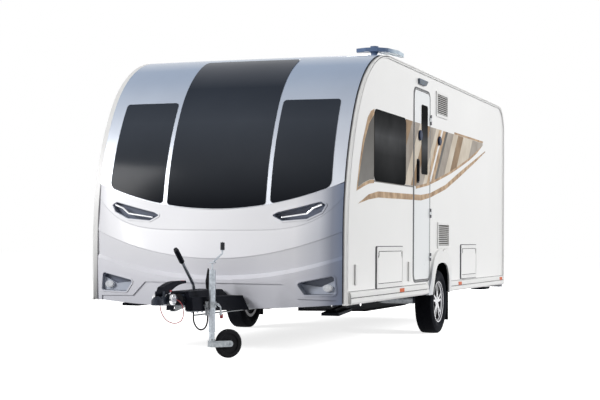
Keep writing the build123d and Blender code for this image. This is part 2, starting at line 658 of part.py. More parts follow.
# ------------------------------------------------------------------------------ wheels
WHEEL_AXIS = Axis((WHEEL_X, AXLE_Y, WHEEL_Z), (1, 0, 0))
WHEEL_PLANE = Plane(origin=(WHEEL_X, AXLE_Y, WHEEL_Z), x_dir=(1, 0, 0), z_dir=(0, -1, 0))


def spun(face):
    """Spin a face drawn as (X from the wheel's middle, radius) about the axle."""
    return revolve(WHEEL_PLANE * face, WHEEL_AXIS, 360)


HALF_W = TYRE_W / 2
BEAD_X, SEAT_R, BEAD_R = 74, 192, 206
tyre_face = make_face([
    Line((-BEAD_X, SEAT_R), (-BEAD_X, BEAD_R)),
    Line((-BEAD_X, BEAD_R), (-88, 235)),
    ThreePointArc((-88, 235), (-HALF_W, 262), (-86, 292)),
    ThreePointArc((-86, 292), (-80, 306), (-64, TYRE_R - 2)),
    ThreePointArc((-64, TYRE_R - 2), (0, TYRE_R), (64, TYRE_R - 2)),
    ThreePointArc((64, TYRE_R - 2), (80, 306), (86, 292)),
    ThreePointArc((86, 292), (HALF_W, 262), (88, 235)),
    Line((88, 235), (BEAD_X, BEAD_R)),
    Line((BEAD_X, BEAD_R), (BEAD_X, SEAT_R)),
    Line((BEAD_X, SEAT_R), (-BEAD_X, SEAT_R)),
])
tyre = spun(tyre_face)
DRUM_R = 128
barrel = polygon((-78, 172), (-78, 203), (-BEAD_X - 1, 203), (-BEAD_X - 1, SEAT_R), (BEAD_X + 1, SEAT_R),
                 (BEAD_X + 1, 204), (80, 204), (80, 194), (62, 182), (40, 176), (-60, 172))
rim = spun(barrel)
rim += spun(polygon((26, 0), (26, 62), (60, 54), (66, 30), (66, 0)))
SPOKES = 5
SPOKE_SPREAD = 10.5           # half the angle between the two blades of one spoke
blade_face = polygon((-14, 34), (14, 34), (10, 120), (8, 180), (-8, 180), (-10, 120))
BLADE_PLANE = Plane(origin=(WHEEL_X + 42, AXLE_Y, WHEEL_Z), x_dir=(0, 1, 0), z_dir=(1, 0, 0))
for spoke in range(SPOKES):
    for split in (-SPOKE_SPREAD, SPOKE_SPREAD):
        turn = 360 / SPOKES * spoke + split
        rim += extrude(BLADE_PLANE * Rot(0, 0, turn) * blade_face, 24)
rim += spun(polygon((-66, 0), (-66, DRUM_R), (0, DRUM_R), (4, 110), (8, 60), (26, 56), (26, 0)))
for name, piece in (("tyre", tyre), ("wheel", rim)):
    nearside, offside = both_sides(piece)
    save(name + "_nearside", nearside)
    save(name + "_offside", offside)

FLAP_Y = AXLE_Y + TYRE_R + 24
mudflap = block((925, 1105), (FLAP_Y, FLAP_Y + 6), (118, WALL_FOOT_Z))
save("mudflaps", both_sides(mudflap))

# ----------------------------------------------------------------- corner steadies
STEADY_X = 900
STEADY_Z = 383
STEADY_W = 42
STEADY_LEN = 520
FOOT_HALF_W = 75
FOOT_SPAN = (250, 600)         # where the flat foot lies along the leg
NEAR_FRONT_DROOP = 4           # degrees: this leg is not wound fully up
# name, pivot Y, direction of the folded leg along Y
STEADIES = [("front", -1700, -1), ("rear", 2950, 1)]
leg_face = make_face([
    Line((0, -16), (STEADY_LEN, -12)),
    Line((STEADY_LEN, -12), (STEADY_LEN, 12)),
    Line((STEADY_LEN, 12), (0, 16)),
    ThreePointArc((0, 16), (-16, 0), (0, -16)),
])
brackets = []
for end, pivot_y, way in STEADIES:
    place = Plane(origin=(STEADY_X, pivot_y, STEADY_Z), x_dir=(0, way, 0), z_dir=(way, 0, 0))
    leg = extrude(place * leg_face, STEADY_W / 2, both=True)
    foot_y = sorted(pivot_y + way * reach for reach in FOOT_SPAN)
    leg += block((STEADY_X - FOOT_HALF_W, STEADY_X + FOOT_HALF_W), foot_y, (STEADY_Z - 34, STEADY_Z - 10))
    nearside, offside = both_sides(leg)
    if end == "front":
        nearside = nearside.rotate(Axis((STEADY_X, pivot_y, STEADY_Z), (1, 0, 0)), NEAR_FRONT_DROOP)
    save(f"steady_{end}_nearside", nearside)
    save(f"steady_{end}_offside", offside)
    ear = polygon((pivot_y - 40, WALL_FOOT_Z), (pivot_y + 40, WALL_FOOT_Z), (pivot_y + 18, STEADY_Z - 18),
                  (pivot_y - 18, STEADY_Z - 18))
    for side in (-1, 1):
        ear_x = sorted((STEADY_X + side * (STEADY_W / 2 + 6), STEADY_X + side * (STEADY_W / 2 + 11)))
        brackets += both_sides(prism_x(ear, *ear_x))
    roof_plate = block((STEADY_X - 32, STEADY_X + 32), (pivot_y - 40, pivot_y + 40), (WALL_FOOT_Z - 5, WALL_FOOT_Z))
    brackets += both_sides(roof_plate)
save("steady_brackets", brackets)

# ------------------------------------------------------------------------ coupling gear
HEAD_R = 46
BALL_Y, BALL_R = NOSE_Y + HEAD_R, 25.2
HEAD_FOOT, HEAD_TOP = 428, 488
DOME_FOOT = 464
head = rod((0, BALL_Y, HEAD_FOOT), (0, BALL_Y, DOME_FOOT + 1), HEAD_R)
head += Pos(0, BALL_Y, (DOME_FOOT + HEAD_TOP) / 2) * Cone(HEAD_R, 28, HEAD_TOP - DOME_FOOT)
head += prism_x(polygon((BALL_Y, HEAD_FOOT + 4), (BALL_Y, HEAD_TOP), (-3500, HEAD_TOP), (-3440, 500), (-3405, 490),
                        (-3405, HEAD_FOOT + 4)), -36, 36)
PAD_Y, PAD_Z, PAD_R = -3522, 468, 42
for side in (-1, 1):
    head += rod((side * 30, PAD_Y, PAD_Z), (side * 58, PAD_Y, PAD_Z), PAD_R)
    head += rod((side * 56, PAD_Y, PAD_Z), (side * 68, PAD_Y, PAD_Z), 17)
OVERRUN_Z = 460
head += rod((0, -3410, OVERRUN_Z), (0, -3330, OVERRUN_Z), 26)
head -= rod((0, BALL_Y, HEAD_FOOT - 5), (0, BALL_Y, 456), BALL_R)
LEVER_Y, LEVER_Z = -3598, 518         # coupling lever's pin
LEVER_HALF_W = 23
for side in (-1, 1):
    ear_x = sorted((side * (LEVER_HALF_W + 5), side * (LEVER_HALF_W + 11)))
    head += block(ear_x, (LEVER_Y - 14, LEVER_Y + 14), (HEAD_TOP - 6, LEVER_Z + 12))
save("coupling_head", head)
lever_face = make_face([
    ThreePointArc((-3602, 496), (-3608, 535), (-3560, 566)),
    ThreePointArc((-3560, 566), (-3450, 592), (-3300, 600)),
    Line((-3300, 600), (-3190, 600)),
    ThreePointArc((-3190, 600), (-3180, 590), (-3190, 580)),
    Line((-3190, 580), (-3250, 577)),
    ThreePointArc((-3250, 577), (-3390, 550), (-3480, 513)),
    Line((-3480, 513), (-3602, 496)),
])
coupling_lever = prism_x(lever_face, -LEVER_HALF_W, LEVER_HALF_W)
coupling_lever += rod((-LEVER_HALF_W, LEVER_Y, LEVER_Z), (LEVER_HALF_W, LEVER_Y, LEVER_Z), 20)
save("coupling_lever", coupling_lever)
bellows_profile = [(26.5, -3330)]
for fold in range(3):
    bellows_profile += [(42, -3322 + 22 * fold), (34, -3311 + 22 * fold)]
bellows_profile += [(40, -3260), (26.5, -3260)]
bellows_face = Plane.YZ * Pos(0, OVERRUN_Z) * make_face(
    Polyline(*[(y, r) for r, y in bellows_profile], close=True))
save("bellows", revolve(bellows_face, Axis((0, 0, OVERRUN_Z), (0, 1, 0)), 360))

COVER_DECK = 520
BRAKE_X, BRAKE_Y, BRAKE_Z = -60, -2838, 488
housing = prism_x(polygon((-3259, PLATE_TOP), (-3259, 500), (-3000, 500), (-2900, 440), (-2800, 440),
                          (-2800, PLATE_TOP)), -42, 42)
housing += block((-92, 0), (-2895, -2800), (PLATE_TOP, 440))
EAR_TOP = BRAKE_Z + 18
brake_ear = polygon((BRAKE_Y - 34, 436), (BRAKE_Y + 34, 436), (BRAKE_Y + 15, EAR_TOP), (BRAKE_Y - 15, EAR_TOP))
EAR_IN = 16
for side in (-1, 1):
    ear_x = sorted((BRAKE_X + side * EAR_IN, BRAKE_X + side * (EAR_IN + 5)))
    housing += prism_x(brake_ear, *ear_x)
save("overrun_housing", housing)

BRAKE_ELBOW = (BRAKE_X, -2868, 566)
BRAKE_TOP = (BRAKE_X, -3195, 836)
BRAKE_R, GRIP_R, GRIP_L = 10, 17, 150
shank = FilletPolyline((BRAKE_X, BRAKE_Y, BRAKE_Z), BRAKE_ELBOW, BRAKE_TOP, radius=90)
lever = sweep(Plane(origin=shank @ 0, z_dir=shank % 0) * Circle(BRAKE_R), path=shank)
lever += rod((BRAKE_X - 12, BRAKE_Y, BRAKE_Z), (BRAKE_X + 12, BRAKE_Y, BRAKE_Z), 20)
grip_way = shank % 1
lever += rod(tuple(shank @ 1 - grip_way * GRIP_L), tuple(shank @ 1 + grip_way * 10), GRIP_R)
save("handbrake_lever", lever)

# A-frame cover: a moulded shell with a raised deck, widening to the front panel
COVER_FRONT, COVER_BACK = -3250, -2652
COVER_SHOULDER = 474
COVER_T = 5
# half widths and heights of the skirt and of the deck, at the front and at the back
COVER_SKIRT = {COVER_FRONT: ((112, 372), (106, COVER_SHOULDER)), COVER_BACK: ((337, 359), (280, COVER_SHOULDER))}
COVER_TOP = {COVER_FRONT: ((84, 466), (72, COVER_DECK)), COVER_BACK: ((156, 466), (100, COVER_DECK))}


def cover_shell(sections, shrink, foot_drop):
    """A ruled body between the front and the back section, with its walls moved in by shrink."""
    faces = []
    for y, ((foot_x, foot_z), (top_x, top_z)) in sections.items():
        inset = shrink if y == COVER_FRONT else 0
        foot, top = foot_x - shrink, top_x - shrink
        face = polygon((-foot, foot_z - foot_drop), (foot, foot_z - foot_drop), (top, top_z - shrink),
                       (-top, top_z - shrink))
        faces.append(Plane.XZ.offset(-y - inset) * face)
    return loft(faces, ruled=True)


cover = cover_shell(COVER_SKIRT, 0, 0) + cover_shell(COVER_TOP, 0, 0)
cover -= cover_shell(COVER_SKIRT, COVER_T, 20) + cover_shell(COVER_TOP, COVER_T, 0)
cover -= block((-47, 47), (COVER_FRONT - 5, COVER_FRONT + 60), (340, 506))
cover -= block((BRAKE_X - 26, BRAKE_X + 26), (BRAKE_Y - 132, BRAKE_Y + 45), (470, 540))
LEAD_HOLE_R = 12
cover -= rod((LEAD_UP_X, LEAD_Y, 480), (LEAD_UP_X, LEAD_Y, 540), LEAD_HOLE_R)
JOCKEY_X, JOCKEY_Y = 205, -3093
cover -= block((110, JOCKEY_X), (JOCKEY_Y - 36, JOCKEY_Y + 36), (340, 444))
save("a_frame_cover", cover)

# ----------------------------------------------------------------------- jockey wheel
OUTER_R, INNER_R = 26, 21
JOCKEY_TOP, OUTER_FOOT, INNER_FOOT = 679, 206, 152
outer_tube = tube((JOCKEY_X, JOCKEY_Y, OUTER_FOOT), (JOCKEY_X, JOCKEY_Y, JOCKEY_TOP), OUTER_R, 4)
outer_tube += rod((JOCKEY_X, JOCKEY_Y, JOCKEY_TOP - 10), (JOCKEY_X, JOCKEY_Y, JOCKEY_TOP + 6), OUTER_R)
crank_path = [(205, -3093, 684), (205, -3093, 741), (275, -3064, 812), (275, -3064, 893)]
for start, end in zip(crank_path, crank_path[1:]):
    outer_tube += rod(start, end, 7) + Pos(*end) * Sphere(7)
knob_x, knob_y, knob_z = crank_path[-1]
outer_tube += rod((knob_x, knob_y, 836), (knob_x, knob_y, knob_z + 4), 17)
save("jockey_outer_tube", outer_tube)
CLAMP_Z = (395, 438)
clamp = rod((JOCKEY_X, JOCKEY_Y, CLAMP_Z[0]), (JOCKEY_X, JOCKEY_Y, CLAMP_Z[1]), OUTER_R + 8)
clamp += block((158, JOCKEY_X), (JOCKEY_Y - 26, JOCKEY_Y + 26), CLAMP_Z)
clamp += block((158, 165), (JOCKEY_Y - 26, JOCKEY_Y + 26), (330, CLAMP_Z[1]))
clamp -= rod((JOCKEY_X, JOCKEY_Y, CLAMP_Z[0] - 5), (JOCKEY_X, JOCKEY_Y, CLAMP_Z[1] + 5), OUTER_R)
clamp_path = [(232, -3100, 420), (268, -3112, 420), (286, -3118, 400), (288, -3118, 362)]
for start, end in zip(clamp_path, clamp_path[1:]):
    clamp += rod(start, end, 6) + Pos(*end) * Sphere(6)
clamp += rod(clamp_path[-1], (288, -3118, 338), 11)
save("jockey_clamp", clamp)
inner_tube = rod((JOCKEY_X, JOCKEY_Y, INNER_FOOT), (JOCKEY_X, JOCKEY_Y, 560), INNER_R)
save("jockey_inner_tube", inner_tube)

JOCKEY_R, JOCKEY_HALF_W = 112, 26
TRAIL = 144
TRAIL_WAY = Vector(0.64, 0.768, 0).normalized()
SPIN_WAY = Vector(TRAIL_WAY.Y, -TRAIL_WAY.X, 0)
JOCKEY_AXLE = Vector(JOCKEY_X, JOCKEY_Y, JOCKEY_R) + TRAIL_WAY * TRAIL
caster = Plane(origin=(JOCKEY_X, JOCKEY_Y, JOCKEY_R), x_dir=TRAIL_WAY, z_dir=SPIN_WAY)
side_plate = make_face([
    Line((-10, -24), (TRAIL, -24)),
    ThreePointArc((TRAIL, -24), (TRAIL + 24, 0), (TRAIL, 24)),
    Line((TRAIL, 24), (-10, 24)),
    Line((-10, 24), (-10, -24)),
])
PLATE_IN = JOCKEY_HALF_W + 6
fork = rod((JOCKEY_X, JOCKEY_Y, 88), (JOCKEY_X, JOCKEY_Y, INNER_FOOT - 1), INNER_R + 3)
for side in (-1, 1):
    plate_plane = caster.offset(side * PLATE_IN if side > 0 else side * (PLATE_IN + 4))
    fork += extrude(plate_plane * side_plate, 4)
fork += extrude(caster * (Pos(-8, 0) * Rectangle(20, 48)), PLATE_IN + 4, both=True)
fork_axle = [tuple(JOCKEY_AXLE + SPIN_WAY * reach) for reach in (-PLATE_IN - 12, PLATE_IN + 12)]
fork += rod(*fork_axle, 6)
save("jockey_fork", fork)
jockey_face = polygon((-JOCKEY_HALF_W, 6.5), (-JOCKEY_HALF_W, 30), (-10, 36), (-10, 74), (-18, 80), (-18, 100),
                      (-10, JOCKEY_R), (10, JOCKEY_R), (18, 100), (18, 80), (10, 74), (10, 36),
                      (JOCKEY_HALF_W, 30), (JOCKEY_HALF_W, 6.5))
jockey_plane = Plane(origin=tuple(JOCKEY_AXLE), x_dir=SPIN_WAY, z_dir=SPIN_WAY.cross(Vector(0, 0, 1)))
jockey_wheel = revolve(jockey_plane * jockey_face, Axis(tuple(JOCKEY_AXLE), tuple(SPIN_WAY)), 360)
save("jockey_wheel", jockey_wheel)

# ----------------------------------------------------------- lead, plug and safety cable


def cord(name, points, radius):
    """A round cord along straight runs joined by the largest tangent arcs they allow."""
    vectors = [Vector(*point) for point in points]
    radii = []
    for before, corner, after in zip(vectors, vectors[1:], vectors[2:]):
        arrive, leave = corner - before, after - corner
        turn = radians(arrive.get_angle(leave))
        radii.append(0.45 * min(arrive.length, leave.length) / tan(turn / 2))
    path = FilletPolyline(*vectors, radius=radii)
    start = Plane(origin=path @ 0, z_dir=path % 0)
    solid = sweep(start * Circle(radius), path=path)
    print(name, "length", round(path.length), "radii", [round(r) for r in radii],
          "volume ratio", round(solid.volume / (3.14159265 * radius**2 * path.length), 4))
    save(name, solid)


LEAD_R = 6.5
PLUG_FOOT = 528
lead_route = [
    (-62, -2842, WALL_FOOT_Z - 1), (-65, -2838, 360), (-70, -2832, 314), (-70, -2830, 268), (-52, -2828, 226),
    (-16, -2830, 196), (28, -2830, 208), (50, -2831, 250), (54, -2829, 298), (51, -2830, 346),
    (52, -2831, 394), (55, -2829, 442), (LEAD_UP_X, LEAD_Y, 488), (LEAD_UP_X, LEAD_Y + 0.5, PLUG_FOOT - 0.5)]
cord("electric_lead", lead_route, LEAD_R)
plug = Pos(LEAD_UP_X, LEAD_Y, PLUG_FOOT) * Cone(17, 21, 60, align=(Align.CENTER, Align.CENTER, Align.MIN))
plug += Pos(LEAD_UP_X, LEAD_Y, PLUG_FOOT + 60) * Cone(21, 5, 102, align=(Align.CENTER, Align.CENTER, Align.MIN))
save("electric_plug", plug)

SAFETY_R = 2.2
safety_route = [
    (45, -3402, 462), (65, -3399, 452), (76, -3385, 436), (74, -3352, 405), (70, -3328, 368), (66, -3322, 330),
    (64, -3348, 302), (60, -3398, 288), (54, -3456, 285), (47, -3516, 296), (41, -3568, 315), (36, -3608, 342),
    (33, -3636, 374), (31, -3653, 402), (30, -3657, 426)]
cord("safety_cable", safety_route, SAFETY_R)

# --------------------------------------------------------------------- roof aerial, rear
AERIAL = (980, -1362)          # stands on the end of the front moulding
AERIAL_Z = (ROOF_TOP + 40, ROOF_TOP + 98)
# plan of the two swept arms, about the mast
WING = [(-158, -22), (-60, -64), (40, -60), (120, 20), (165, 200), (152, 420), (116, 425), (78, 250), (10, 80),
        (-60, 26), (-156, 12)]
wing = prism_z(Pos(*AERIAL) * polygon(*WING), AERIAL_Z[0] + 8, AERIAL_Z[0] + 42)
aerial = rod((*AERIAL, ROOF_TOP + SHELL_PROUD), (*AERIAL, AERIAL_Z[0] + 20), 28) + wing
aerial += rod((*AERIAL, AERIAL_Z[0]), (*AERIAL, AERIAL_Z[1]), 36)
save("roof_aerial", aerial)

BUMPER_PROFILE = [(REAR_Y, 372), (REAR_Y, 760), (REAR_Y + 18, 748), (TAIL_Y - 22, 640), (TAIL_Y, 560),
                  (TAIL_Y, 430), (TAIL_Y - 14, 392), (TAIL_Y - 40, 372)]
bumper = prism_x(polygon(*BUMPER_PROFILE), -INNER_X - 20, INNER_X + 20)
plate_hole = prism_y(panel((-270, 470), (270, 600), 8), TAIL_Y - 18, TAIL_Y + 10)
bumper -= plate_hole
LAMP_BOX = ((800, 600), (1040, 830))
lamp_face = panel(*LAMP_BOX, 30)
for cut in both_sides(prism_y(lamp_face, REAR_Y, TAIL_Y + 20)):
    bumper -= cut
save("rear_bumper", bumper)
rear_lamps = both_sides(prism_y(lamp_face, REAR_Y, REAR_Y + 46))
rear_lamps.append(prism_y(panel((-300, 2170), (300, 2200), 8), REAR_Y, REAR_Y + 14))
save("rear_lamps", rear_lamps)
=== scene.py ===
# %% [markdown]
# # A touring caravan
# The frame brings in the solid parts at their real size. This script gives every one of them a
# finish, adds what is too fine for the solids, and sets up the light and the camera.

# %% Load the frame
import math

import bpy
from mathutils import Matrix, Vector


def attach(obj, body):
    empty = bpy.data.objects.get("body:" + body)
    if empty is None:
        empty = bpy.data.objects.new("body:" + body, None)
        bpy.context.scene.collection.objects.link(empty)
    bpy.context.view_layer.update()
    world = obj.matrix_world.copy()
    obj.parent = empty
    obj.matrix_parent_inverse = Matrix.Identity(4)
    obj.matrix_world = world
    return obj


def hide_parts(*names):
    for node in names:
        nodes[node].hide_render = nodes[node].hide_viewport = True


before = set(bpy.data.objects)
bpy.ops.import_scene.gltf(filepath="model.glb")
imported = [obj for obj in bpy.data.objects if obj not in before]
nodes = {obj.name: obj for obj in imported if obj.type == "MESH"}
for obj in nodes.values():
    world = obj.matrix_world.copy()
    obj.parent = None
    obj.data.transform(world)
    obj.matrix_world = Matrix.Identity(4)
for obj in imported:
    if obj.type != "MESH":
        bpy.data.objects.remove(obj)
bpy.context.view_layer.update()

# %% [markdown]
# ## Camera
# A long lens set low, eleven metres from the front corner on the nearside. The three directions
# of the camera are worked out from its yaw, pitch and roll, and become the columns of its matrix.

# %% Camera
EYE = (4.45125, -12.89903, 0.92281)
LENS, SENSOR = 82.56, 36          # mm
SEES_TO = 200                     # metres
YAW, PITCH, ROLL = (math.radians(angle) for angle in (19.8014, 1.6534, 0.44796))


def aim(yaw, pitch, roll):
    """The turn of a camera that looks along +Y, swung towards -X, tipped up and rolled."""
    ahead = Vector((-math.sin(yaw) * math.cos(pitch), math.cos(yaw) * math.cos(pitch),
                    math.sin(pitch)))
    level = Vector((math.cos(yaw), math.sin(yaw), 0))
    above = level.cross(ahead)
    right = math.cos(roll) * level + math.sin(roll) * above
    up = math.cos(roll) * above - math.sin(roll) * level
    return Matrix((right, up, -ahead)).transposed().to_4x4()


lens = bpy.data.cameras.new("camera")
lens.lens, lens.sensor_width = LENS, SENSOR
lens.clip_end = SEES_TO
camera = bpy.data.objects.new("camera", lens)
camera.matrix_world = Matrix.Translation(EYE) @ aim(YAW, PITCH, ROLL)
bpy.context.collection.objects.link(camera)
bpy.context.scene.camera = camera
bpy.context.scene.view_settings.view_transform = "Standard"
print("camera at", EYE)

# %% [markdown]
# ## Surface finishes
# No real surface has one flat value all over. `finish` builds a procedural material from a slow
# cloud of noise that moves the colour between two close tones, the same cloud for the roughness,
# and a finer one for the bump. Whatever is constant is typed into the shader's own socket.

# %% A helper that builds a material
DARK_AT, LIGHT_AT = 0.3, 0.7      # where in the noise each tone is reached
BUMP_DEPTH = 0.002                # metres


def finish(name, dark, light, cloud=3.0, rough=(0.3, 0.4), grain=120.0, bump=0.0, **sockets):
    """A material whose colour runs between two tones, with grain of the given size per metre."""
    material = bpy.data.materials.new(name)
    material.use_nodes = True
    tree = material.node_tree
    shader = tree.nodes["Principled BSDF"]
    place = tree.nodes.new("ShaderNodeTexCoord")
    noise = tree.nodes.new("ShaderNodeTexNoise")
    noise.inputs["Scale"].default_value = cloud
    noise.inputs["Detail"].default_value = 4
    tree.links.new(place.outputs["Object"], noise.inputs["Vector"])
    ramp = tree.nodes.new("ShaderNodeValToRGB")
    for element, where, tone in zip(ramp.color_ramp.elements, (DARK_AT, LIGHT_AT), (dark, light)):
        element.position = where
        element.color = (*tone, 1)
    tree.links.new(noise.outputs["Fac"], ramp.inputs["Fac"])
    tree.links.new(ramp.outputs["Color"], shader.inputs["Base Color"])
    gloss = tree.nodes.new("ShaderNodeMapRange")
    gloss.inputs["To Min"].default_value, gloss.inputs["To Max"].default_value = rough
    tree.links.new(noise.outputs["Fac"], gloss.inputs["Value"])
    tree.links.new(gloss.outputs["Result"], shader.inputs["Roughness"])
    if bump:
        fine = tree.nodes.new("ShaderNodeTexNoise")
        fine.inputs["Scale"].default_value = grain
        relief = tree.nodes.new("ShaderNodeBump")
        relief.inputs["Strength"].default_value = bump
        relief.inputs["Distance"].default_value = BUMP_DEPTH
        tree.links.new(place.outputs["Object"], fine.inputs["Vector"])
        tree.links.new(fine.outputs["Fac"], relief.inputs["Height"])
        tree.links.new(relief.outputs["Normal"], shader.inputs["Normal"])
    for socket, value in sockets.items():
        shader.inputs[socket.replace("_", " ")].default_value = value
    print("made", name)
    return material


# %% [markdown]
# ## Colour that changes along an axis
# A window carries a painted reflection, dark low down and lighter towards its top, a lever has a black grip,
# and a wheel is bright outside and darkened within by painted shade. `fade` multiplies a finish by colours
# set at distances along one axis, sharp or soft.

# %% A helper that fades a finish
COLOUR_A, COLOUR_B, COLOUR_OUT = 6, 7, 2          # the mix node's sockets when it mixes colours


def fade(material, axis, stops, soft=True, both_sides=False):
    """Multiply the base colour by colours placed at metres along an axis."""
    tree = material.node_tree
    shader = tree.nodes["Principled BSDF"]
    before = shader.inputs["Base Color"].links[0].from_socket
    place = tree.nodes.new("ShaderNodeTexCoord")
    split = tree.nodes.new("ShaderNodeSeparateXYZ")
    tree.links.new(place.outputs["Object"], split.inputs[0])
    distance = split.outputs[axis]
    if both_sides:
        size = tree.nodes.new("ShaderNodeMath")
        size.operation = "ABSOLUTE"
        tree.links.new(distance, size.inputs[0])
        distance = size.outputs[0]
    scale = tree.nodes.new("ShaderNodeMapRange")
    low, high = stops[0][0], stops[-1][0]
    scale.inputs["From Min"].default_value, scale.inputs["From Max"].default_value = low, high
    tree.links.new(distance, scale.inputs["Value"])
    ramp = tree.nodes.new("ShaderNodeValToRGB")
    ramp.color_ramp.interpolation = "LINEAR" if soft else "CONSTANT"
    colours = ramp.color_ramp.elements
    while len(colours) < len(stops):
        colours.new(0.5)
    for element, (where, colour) in zip(colours, stops):
        element.position = (where - low) / (high - low)
        element.color = (*colour, 1)
    tree.links.new(scale.outputs["Result"], ramp.inputs["Fac"])
    mix = tree.nodes.new("ShaderNodeMix")
    mix.data_type, mix.blend_type = "RGBA", "MULTIPLY"
    mix.inputs["Factor"].default_value = 1
    tree.links.new(before, mix.inputs[COLOUR_A])
    tree.links.new(ramp.outputs["Color"], mix.inputs[COLOUR_B])
    tree.links.new(mix.outputs[COLOUR_OUT], shader.inputs["Base Color"])
    print("faded", material.name, "along", axis)


# %% [markdown]
# ## The finishes of a caravan
# Gelcoat walls are white with the faintest waviness. The upper front moulding is metallic lacquer
# under a clear coat, with a painted reflection of blue sky towards the roof, and the lower one is pale,
# with painted shade towards its ends, deepest at its near corner, and towards its foot. The windows are
# dark acrylic with a painted reflection, and the trays and arch trims carry painted shade.

# %% Finishes of the body
gelcoat = finish("gelcoat", (0.78, 0.78, 0.77), (0.81, 0.81, 0.80), 1.2, (0.28, 0.36), 40, 0.02,
                 Coat_Weight=0.25, Coat_Roughness=0.1)
silver_blue = finish("silver_blue", (0.82, 0.84, 0.88), (0.90, 0.92, 0.95), 2.5, (0.30, 0.38), 900, 0.03,
                     Metallic=0.35, Coat_Weight=0.4, Coat_Roughness=0.08)
# Painted reflection of blue sky, deepening towards the roof.
fade(silver_blue, "Z", [(1.15, (0.80, 0.81, 0.84)), (1.75, (0.66, 0.69, 0.75)), (2.15, (0.46, 0.52, 0.62)),
                        (2.40, (0.26, 0.35, 0.50)), (2.55, (0.48, 0.56, 0.68))])
moulding = finish("moulding", (0.80, 0.80, 0.82), (0.84, 0.84, 0.86), 1.6, (0.34, 0.42), 900, 0.03,
                  Coat_Weight=0.15, Coat_Roughness=0.1)
# Painted light and shade across the width: lighter in the middle, darker towards both ends, deepest at the
# near (+X) corner.
fade(moulding, "X", [(-1.09, (0.84, 0.84, 0.86)), (-0.80, (0.92, 0.92, 0.93)), (-0.3, (1.06, 1.06, 1.07)),
                     (0.70, (1.04, 1.04, 1.05)), (0.90, (0.74, 0.76, 0.81)), (1.00, (0.33, 0.36, 0.44)),
                     (1.09, (0.25, 0.31, 0.44))])
# Painted shade, darker towards the foot.
fade(moulding, "Z", [(0.36, (0.72, 0.73, 0.77)), (0.62, (0.86, 0.86, 0.89)), (0.80, (0.97, 0.97, 0.98)),
                     (1.0, (1, 1, 1))])
pale_lilac = finish("pale_lilac", (0.62, 0.63, 0.68), (0.68, 0.68, 0.72), 1.6, (0.28, 0.36), 900, 0.03,
                    Metallic=0.2, Coat_Weight=0.5, Coat_Roughness=0.08)
tray_grey = finish("tray_grey", (0.36, 0.39, 0.46), (0.42, 0.45, 0.52), 6, (0.3, 0.4), 300, 0.1)
# Painted shade: the trays are darkened where they sink behind the front face.
fade(tray_grey, "Y", [(-2.60, (1, 1, 1)), (-2.514, (0.28, 0.30, 0.36)), (-2.49, (0.3, 0.3, 0.3))], soft=False)
acrylic = finish("acrylic", (0.045, 0.050, 0.058), (0.060, 0.065, 0.074), 0.9, (0.10, 0.20),
                 Specular_IOR_Level=0.04)
# Painted reflection on the front windows: dark low down, lighter towards the top.
fade(acrylic, "Z", [(1.20, (0.14, 0.15, 0.18)), (1.55, (0.66, 0.68, 0.72)), (1.90, (0.92, 0.98, 1.08)),
                    (2.20, (0.52, 0.60, 0.74)), (2.45, (1.9, 1.9, 2.0))])
side_acrylic = finish("side_acrylic", (0.026, 0.027, 0.028), (0.058, 0.059, 0.061), 1.4, (0.25, 0.4),
                      Specular_IOR_Level=0.0)
# Painted reflection on the side windows: dark low down and at the top, with a bright band high on the pane.
fade(side_acrylic, "Z", [(1.42, (0.35, 0.36, 0.36)), (1.66, (0.80, 0.80, 0.80)), (1.82, (1.9, 1.9, 1.9)),
                         (1.92, (1.1, 1.1, 1.1)), (2.08, (0.4, 0.4, 0.4))])
white_trim = finish("white_trim", (0.74, 0.74, 0.73), (0.78, 0.78, 0.77), 6, (0.34, 0.44), 300, 0.06)
door_white = finish("door_white", (0.72, 0.75, 0.76), (0.76, 0.78, 0.79), 2, (0.25, 0.33), 60, 0.05,
                    Coat_Weight=0.25, Coat_Roughness=0.1)
arch_white = finish("arch_white", (0.74, 0.74, 0.73), (0.78, 0.78, 0.77), 6, (0.34, 0.44), 300, 0.04)
# Painted shade on the arch trims, deepest on their front flank and slight at their rear.
fade(arch_white, "Y", [(-0.06, (0.58, 0.61, 0.67)), (0.06, (0.70, 0.72, 0.77)), (0.20, (1, 1, 1)),
                       (0.74, (1, 1, 1)), (0.90, (0.90, 0.90, 0.92))])
vent_white = finish("vent_white", (0.72, 0.72, 0.71), (0.76, 0.76, 0.75), 6, (0.34, 0.44), 300, 0.06)
seal_grey = finish("seal_grey", (0.022, 0.025, 0.032), (0.044, 0.048, 0.056), 20, (0.4, 0.55), 500, 0.1)
seal_dark = finish("seal_dark", (0.010, 0.012, 0.020), (0.022, 0.025, 0.036), 20, (0.5, 0.6), 500, 0.1,
                   Specular_IOR_Level=0.05)
vent_dark = finish("vent_dark", (0.020, 0.016, 0.012), (0.040, 0.034, 0.026), 12, (0.6, 0.7), 300, 0.1)
dome = finish("dome", (0.62, 0.66, 0.70), (0.70, 0.73, 0.76), 8, (0.12, 0.2), Coat_Weight=0.6)
aerial_blue = finish("aerial_blue", (0.10, 0.15, 0.26), (0.14, 0.20, 0.32), 8, (0.35, 0.45),
                     Specular_IOR_Level=0.1)
fade(aerial_blue, "Y", [(-1.37, (1, 1, 1)), (-1.22, (4.2, 3.4, 2.3))])
print(len(bpy.data.materials), "finishes")
